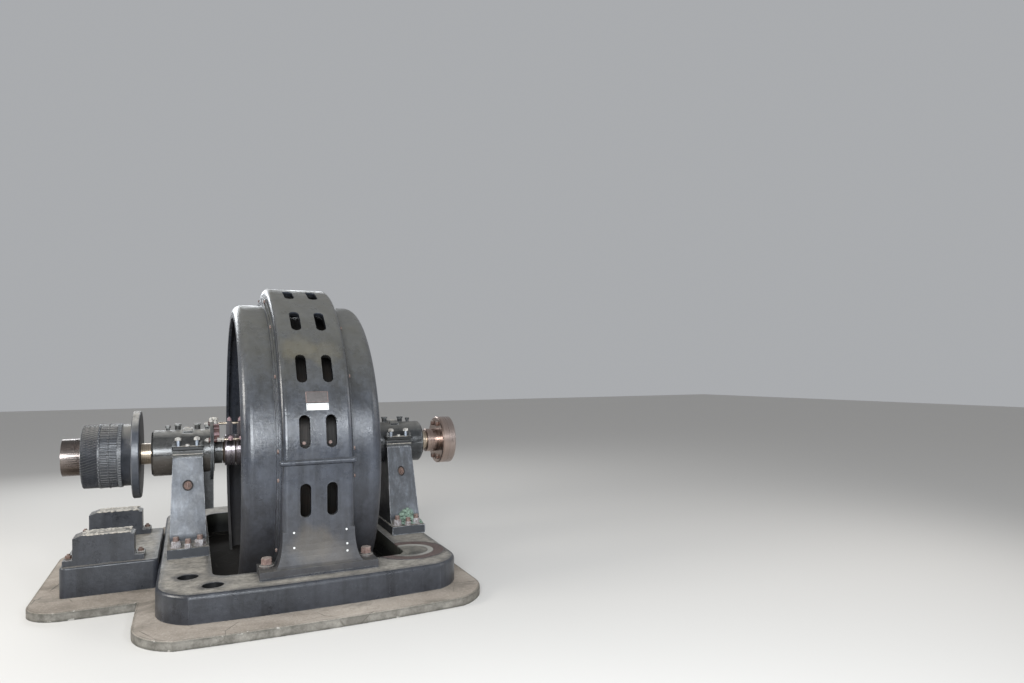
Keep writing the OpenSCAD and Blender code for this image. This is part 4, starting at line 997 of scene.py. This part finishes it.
def add_brush_fittings():
    """Insulated roots of the rods, the clamp between them, springs and terminals."""
    red = Piece("rod_bushes", "clamp_red")
    nuts = Piece("rod_nuts", "pale_nut")
    pink = Piece("brush_terminals", "terminal_pink")
    for degrees in ROD_ANGLES:
        boss = YOKE_LEFT - YOKE_BOSS
        red.lathe(lying(boss, ROD_R, degrees), sleeve(ROD_HOLE, BUSH_R, 0, YOKE_BOSS))
        red.lathe(lying(YOKE_RIGHT, ROD_R, degrees), sleeve(ROD_HOLE, BUSH_R, 0, 0.026))
        nuts.bolt(lying(boss, ROD_R, degrees, -1) @ spun(), 0.030, 0.014, washer=0.002, stud=0.012)
        nuts.lathe(lying(YOKE_RIGHT + 0.026, ROD_R, degrees), sleeve(ROD_HOLE, BUSH_R, 0, 0.016), 6)
    for step in range(CLAMP_BLOCKS):
        block = pink if step in PINK_BLOCKS else red
        spot = standing(YOKE_RIGHT + 0.0225, 0.216 + 0.002 * (step % 2), 36 + step * 5.4)
        block.box(spot, (0.043, 0.030, 0.018), 0.003)
    red.done("insulation")
    nuts.done("brush_metal")

    springs = Piece("brush_springs", "dark_nut")
    for degrees in ROD_ANGLES:
        for x in RINGS:
            place, outward = round_shaft(x, 0.236, degrees)
            spot = facing(place + outward * 0.003, outward) @ spun()
            pink.bolt(spot, 0.030, 0.018, washer=0.003, stud=0.010)
            for shift in (0.0, 0.024):
                springs.sweep(spring_path(x - 0.012, shift, degrees), SPRING_WIRE, 5)
    springs.done("brush_metal")
    pink.done("brush_metal")

    caps = Piece("yoke_top_terminals", "pale_nut")
    for degrees, x, low in TOP_NUTS:
        caps.bolt(standing(x, low, degrees) @ spun(), 0.026, 0.016, washer=0.004, stud=0.014)
    for x in (-0.588, -0.568):
        caps.lathe(lying(x, ROD_R, 28), sleeve(ROD_HOLE, 0.018, 0, 0.014), 6)
    caps.done("brush_metal")
    blocks = Piece("yoke_top_blocks", "terminal_cream")
    for degrees, x, low in TOP_BLOCKS:
        blocks.box(standing(x, low, degrees), (0.020, 0.024, 0.030), 0.004)
    blocks.done("brush_metal")


def spring_path(x, shift, degrees):
    """The centre line of a brush holder's coil spring."""
    start, outward = round_shaft(x, 0.200, degrees)
    across = outward.cross(Vector((1, 0, 0)))
    return [start + Vector((shift, 0, 0)) + across * (0.022 + SPRING_R * math.cos(k * 0.9))
            + outward * (SPRING_R * math.sin(k * 0.9)) - outward * SPRING_PITCH * k for k in range(34)]


# Exciter

ARMATURE_COILS = 72
ARMATURE_SLOTS = 60
BAND_DOTS = 76
EDGE_LOOPS = 96
EXCITER_FOOT_TOP = 0.268 + 0.038
CRUST_LUMPS = 150


def add_armature_details():
    """Coil ends, slot wedges and the stitched bands of the armature."""
    strands = Piece("armature_coil_ends", "exciter_coils", ROTOR)
    for i in range(ARMATURE_COILS):
        for lean in (-1, 1):
            shares = [k / 5 for k in range(6)]
            strands.sweep([round_shaft(-1.528 + 0.104 * share, 0.2370 + 0.001 * lean,
                                       360 * i / ARMATURE_COILS + lean * 8 * share)[0]
                           for share in shares], 0.0045, 5)
    strands.done("exciter_coils", 50)

    wedges = Piece("armature_slot_wedges", "exciter_iron", ROTOR)
    for i in range(ARMATURE_SLOTS):
        wedges.box(standing(-1.3525, 0.2435, 6 * i), (0.0072, 0.108, 0.0020), 0.0006)
    wedges.done("exciter_coils")

    dots = Piece("armature_band_dots", "cord_pale", ROTOR)
    for i in range(BAND_DOTS):
        spot = standing(-1.416 + (0.0032, -0.0032)[i % 2], 0.2457, 360 * i / BAND_DOTS)
        dots.lathe(spot, [(0.0042, -0.0004), (0.0038, 0.0018), (0, 0.0030)], 6)
    dots.done("exciter_coils")

    stitches = Piece("armature_band_stitches", "cord_pale", ROTOR)
    for i in range(ARMATURE_COILS):
        for lean in (-1, 1):
            path = [round_shaft(-1.294 + 0.024 * share, 0.2462,
                                360 * (i + 0.5) / ARMATURE_COILS + lean * (1.5 - 1.3 * share))[0]
                    for share in (0, 0.33, 0.67, 1)]
            stitches.sweep(path, 0.0015, 5)
    stitches.done("exciter_coils")

    loops = Piece("armature_edge_loops", "cord_pale", ROTOR)
    for i in range(EDGE_LOOPS):
        loops.box(standing(-1.5325, 0.2325, 360 * i / EDGE_LOOPS), (0.004, 0.0035, 0.005), 0.0008)
    loops.done("exciter_coils")


def add_exciter_fittings():
    """Bolts at the ends of the feet's flanges."""
    bolts = Piece("exciter_foot_bolts", "bolt_brown")
    washers = Piece("exciter_foot_washers", "pale_nut")
    for side in (-1, 1):
        for x in (-1.577, -1.128):
            spot = at(x, side * 0.435, EXCITER_FOOT_TOP) @ spun()
            if x > -1.3:
                washers.lathe(spot, [(0.012, 0), (0.028, 0), (0.028, 0.005), (0.012, 0.006)], 24)
            bolts.bolt(spot, 0.036, 0.020, washer=0.003, stud=0.010)
    bolts.done("bed_paint")
    washers.done("bed_paint")


def add_rotor_fittings():
    """Bolts in half of the coupling's holes, and the dark coat on the exciter's flange."""
    heads = Piece("coupling_bolts", "bolt_brown", ROTOR)
    for i in (0, 3, 4, 7):
        a = TURN * (i + 0.5) / 8
        spot = Vector((1.281, -0.165 * math.sin(a), AXIS_Z + 0.165 * math.cos(a)))
        heads.bolt(facing(spot, (-1, 0, 0)) @ spun(), 0.036, 0.020, washer=0.003)
        heads.lathe(facing(spot, (1, 0, 0)), [(0.0165, 0), (0.0165, 0.118), (0.014, 0.121), (0, 0.121)])
    heads.done("coupling_steel")
    coat = Piece("flange_face_coat", "plug_dark", ROTOR)
    coat.lathe(facing((-1.1442, 0, AXIS_Z), (1, 0, 0)), sleeve(0.0835, 0.334, 0, 0.001) + [(0.0835, 0)], 96)
    coat.done("exciter_iron")


def add_crusts():
    """Crumbling dust on the exciter's feet and verdigris at the right pedestal's foot."""
    crust = Piece("foot_dust", "dust_crust")
    for side in (-1, 1):
        for i in range(CRUST_LUMPS):
            x = random.uniform(-1.480, -1.188)
            y = side * random.choice((random.uniform(0.352, 0.366), random.uniform(0.504, 0.518),
                                      random.uniform(0.352, 0.518)))
            size = random.uniform(0.004, 0.010)
            crust.lump((x, y, 0.4745), (size * 1.9, size * 1.3, size * 0.7))
    crust.done("bed_paint")
    green = Piece("verdigris", "verdigris")
    for i in range(CRUST_LUMPS):
        across = random.gauss(0, 0.042)
        height = random.uniform(0, 0.130) * max(0.15, 1 - abs(across) / 0.110)
        size = random.uniform(0.008, 0.017)
        depth = -0.412 - 0.070 * (1 - height / 0.130) * random.random()
        green.lump((0.872 + across, depth, 0.316 + height), (size * 1.2, size, size * 0.9))
    green.done("pedestal_paint")


random.seed(7)
add_camera()
add_studio()
dress_nodes()
add_frame_fittings()
add_seat()
add_windings()
add_bearing_fittings()
add_brush_fittings()
add_armature_details()
add_exciter_fittings()
add_rotor_fittings()
add_crusts()
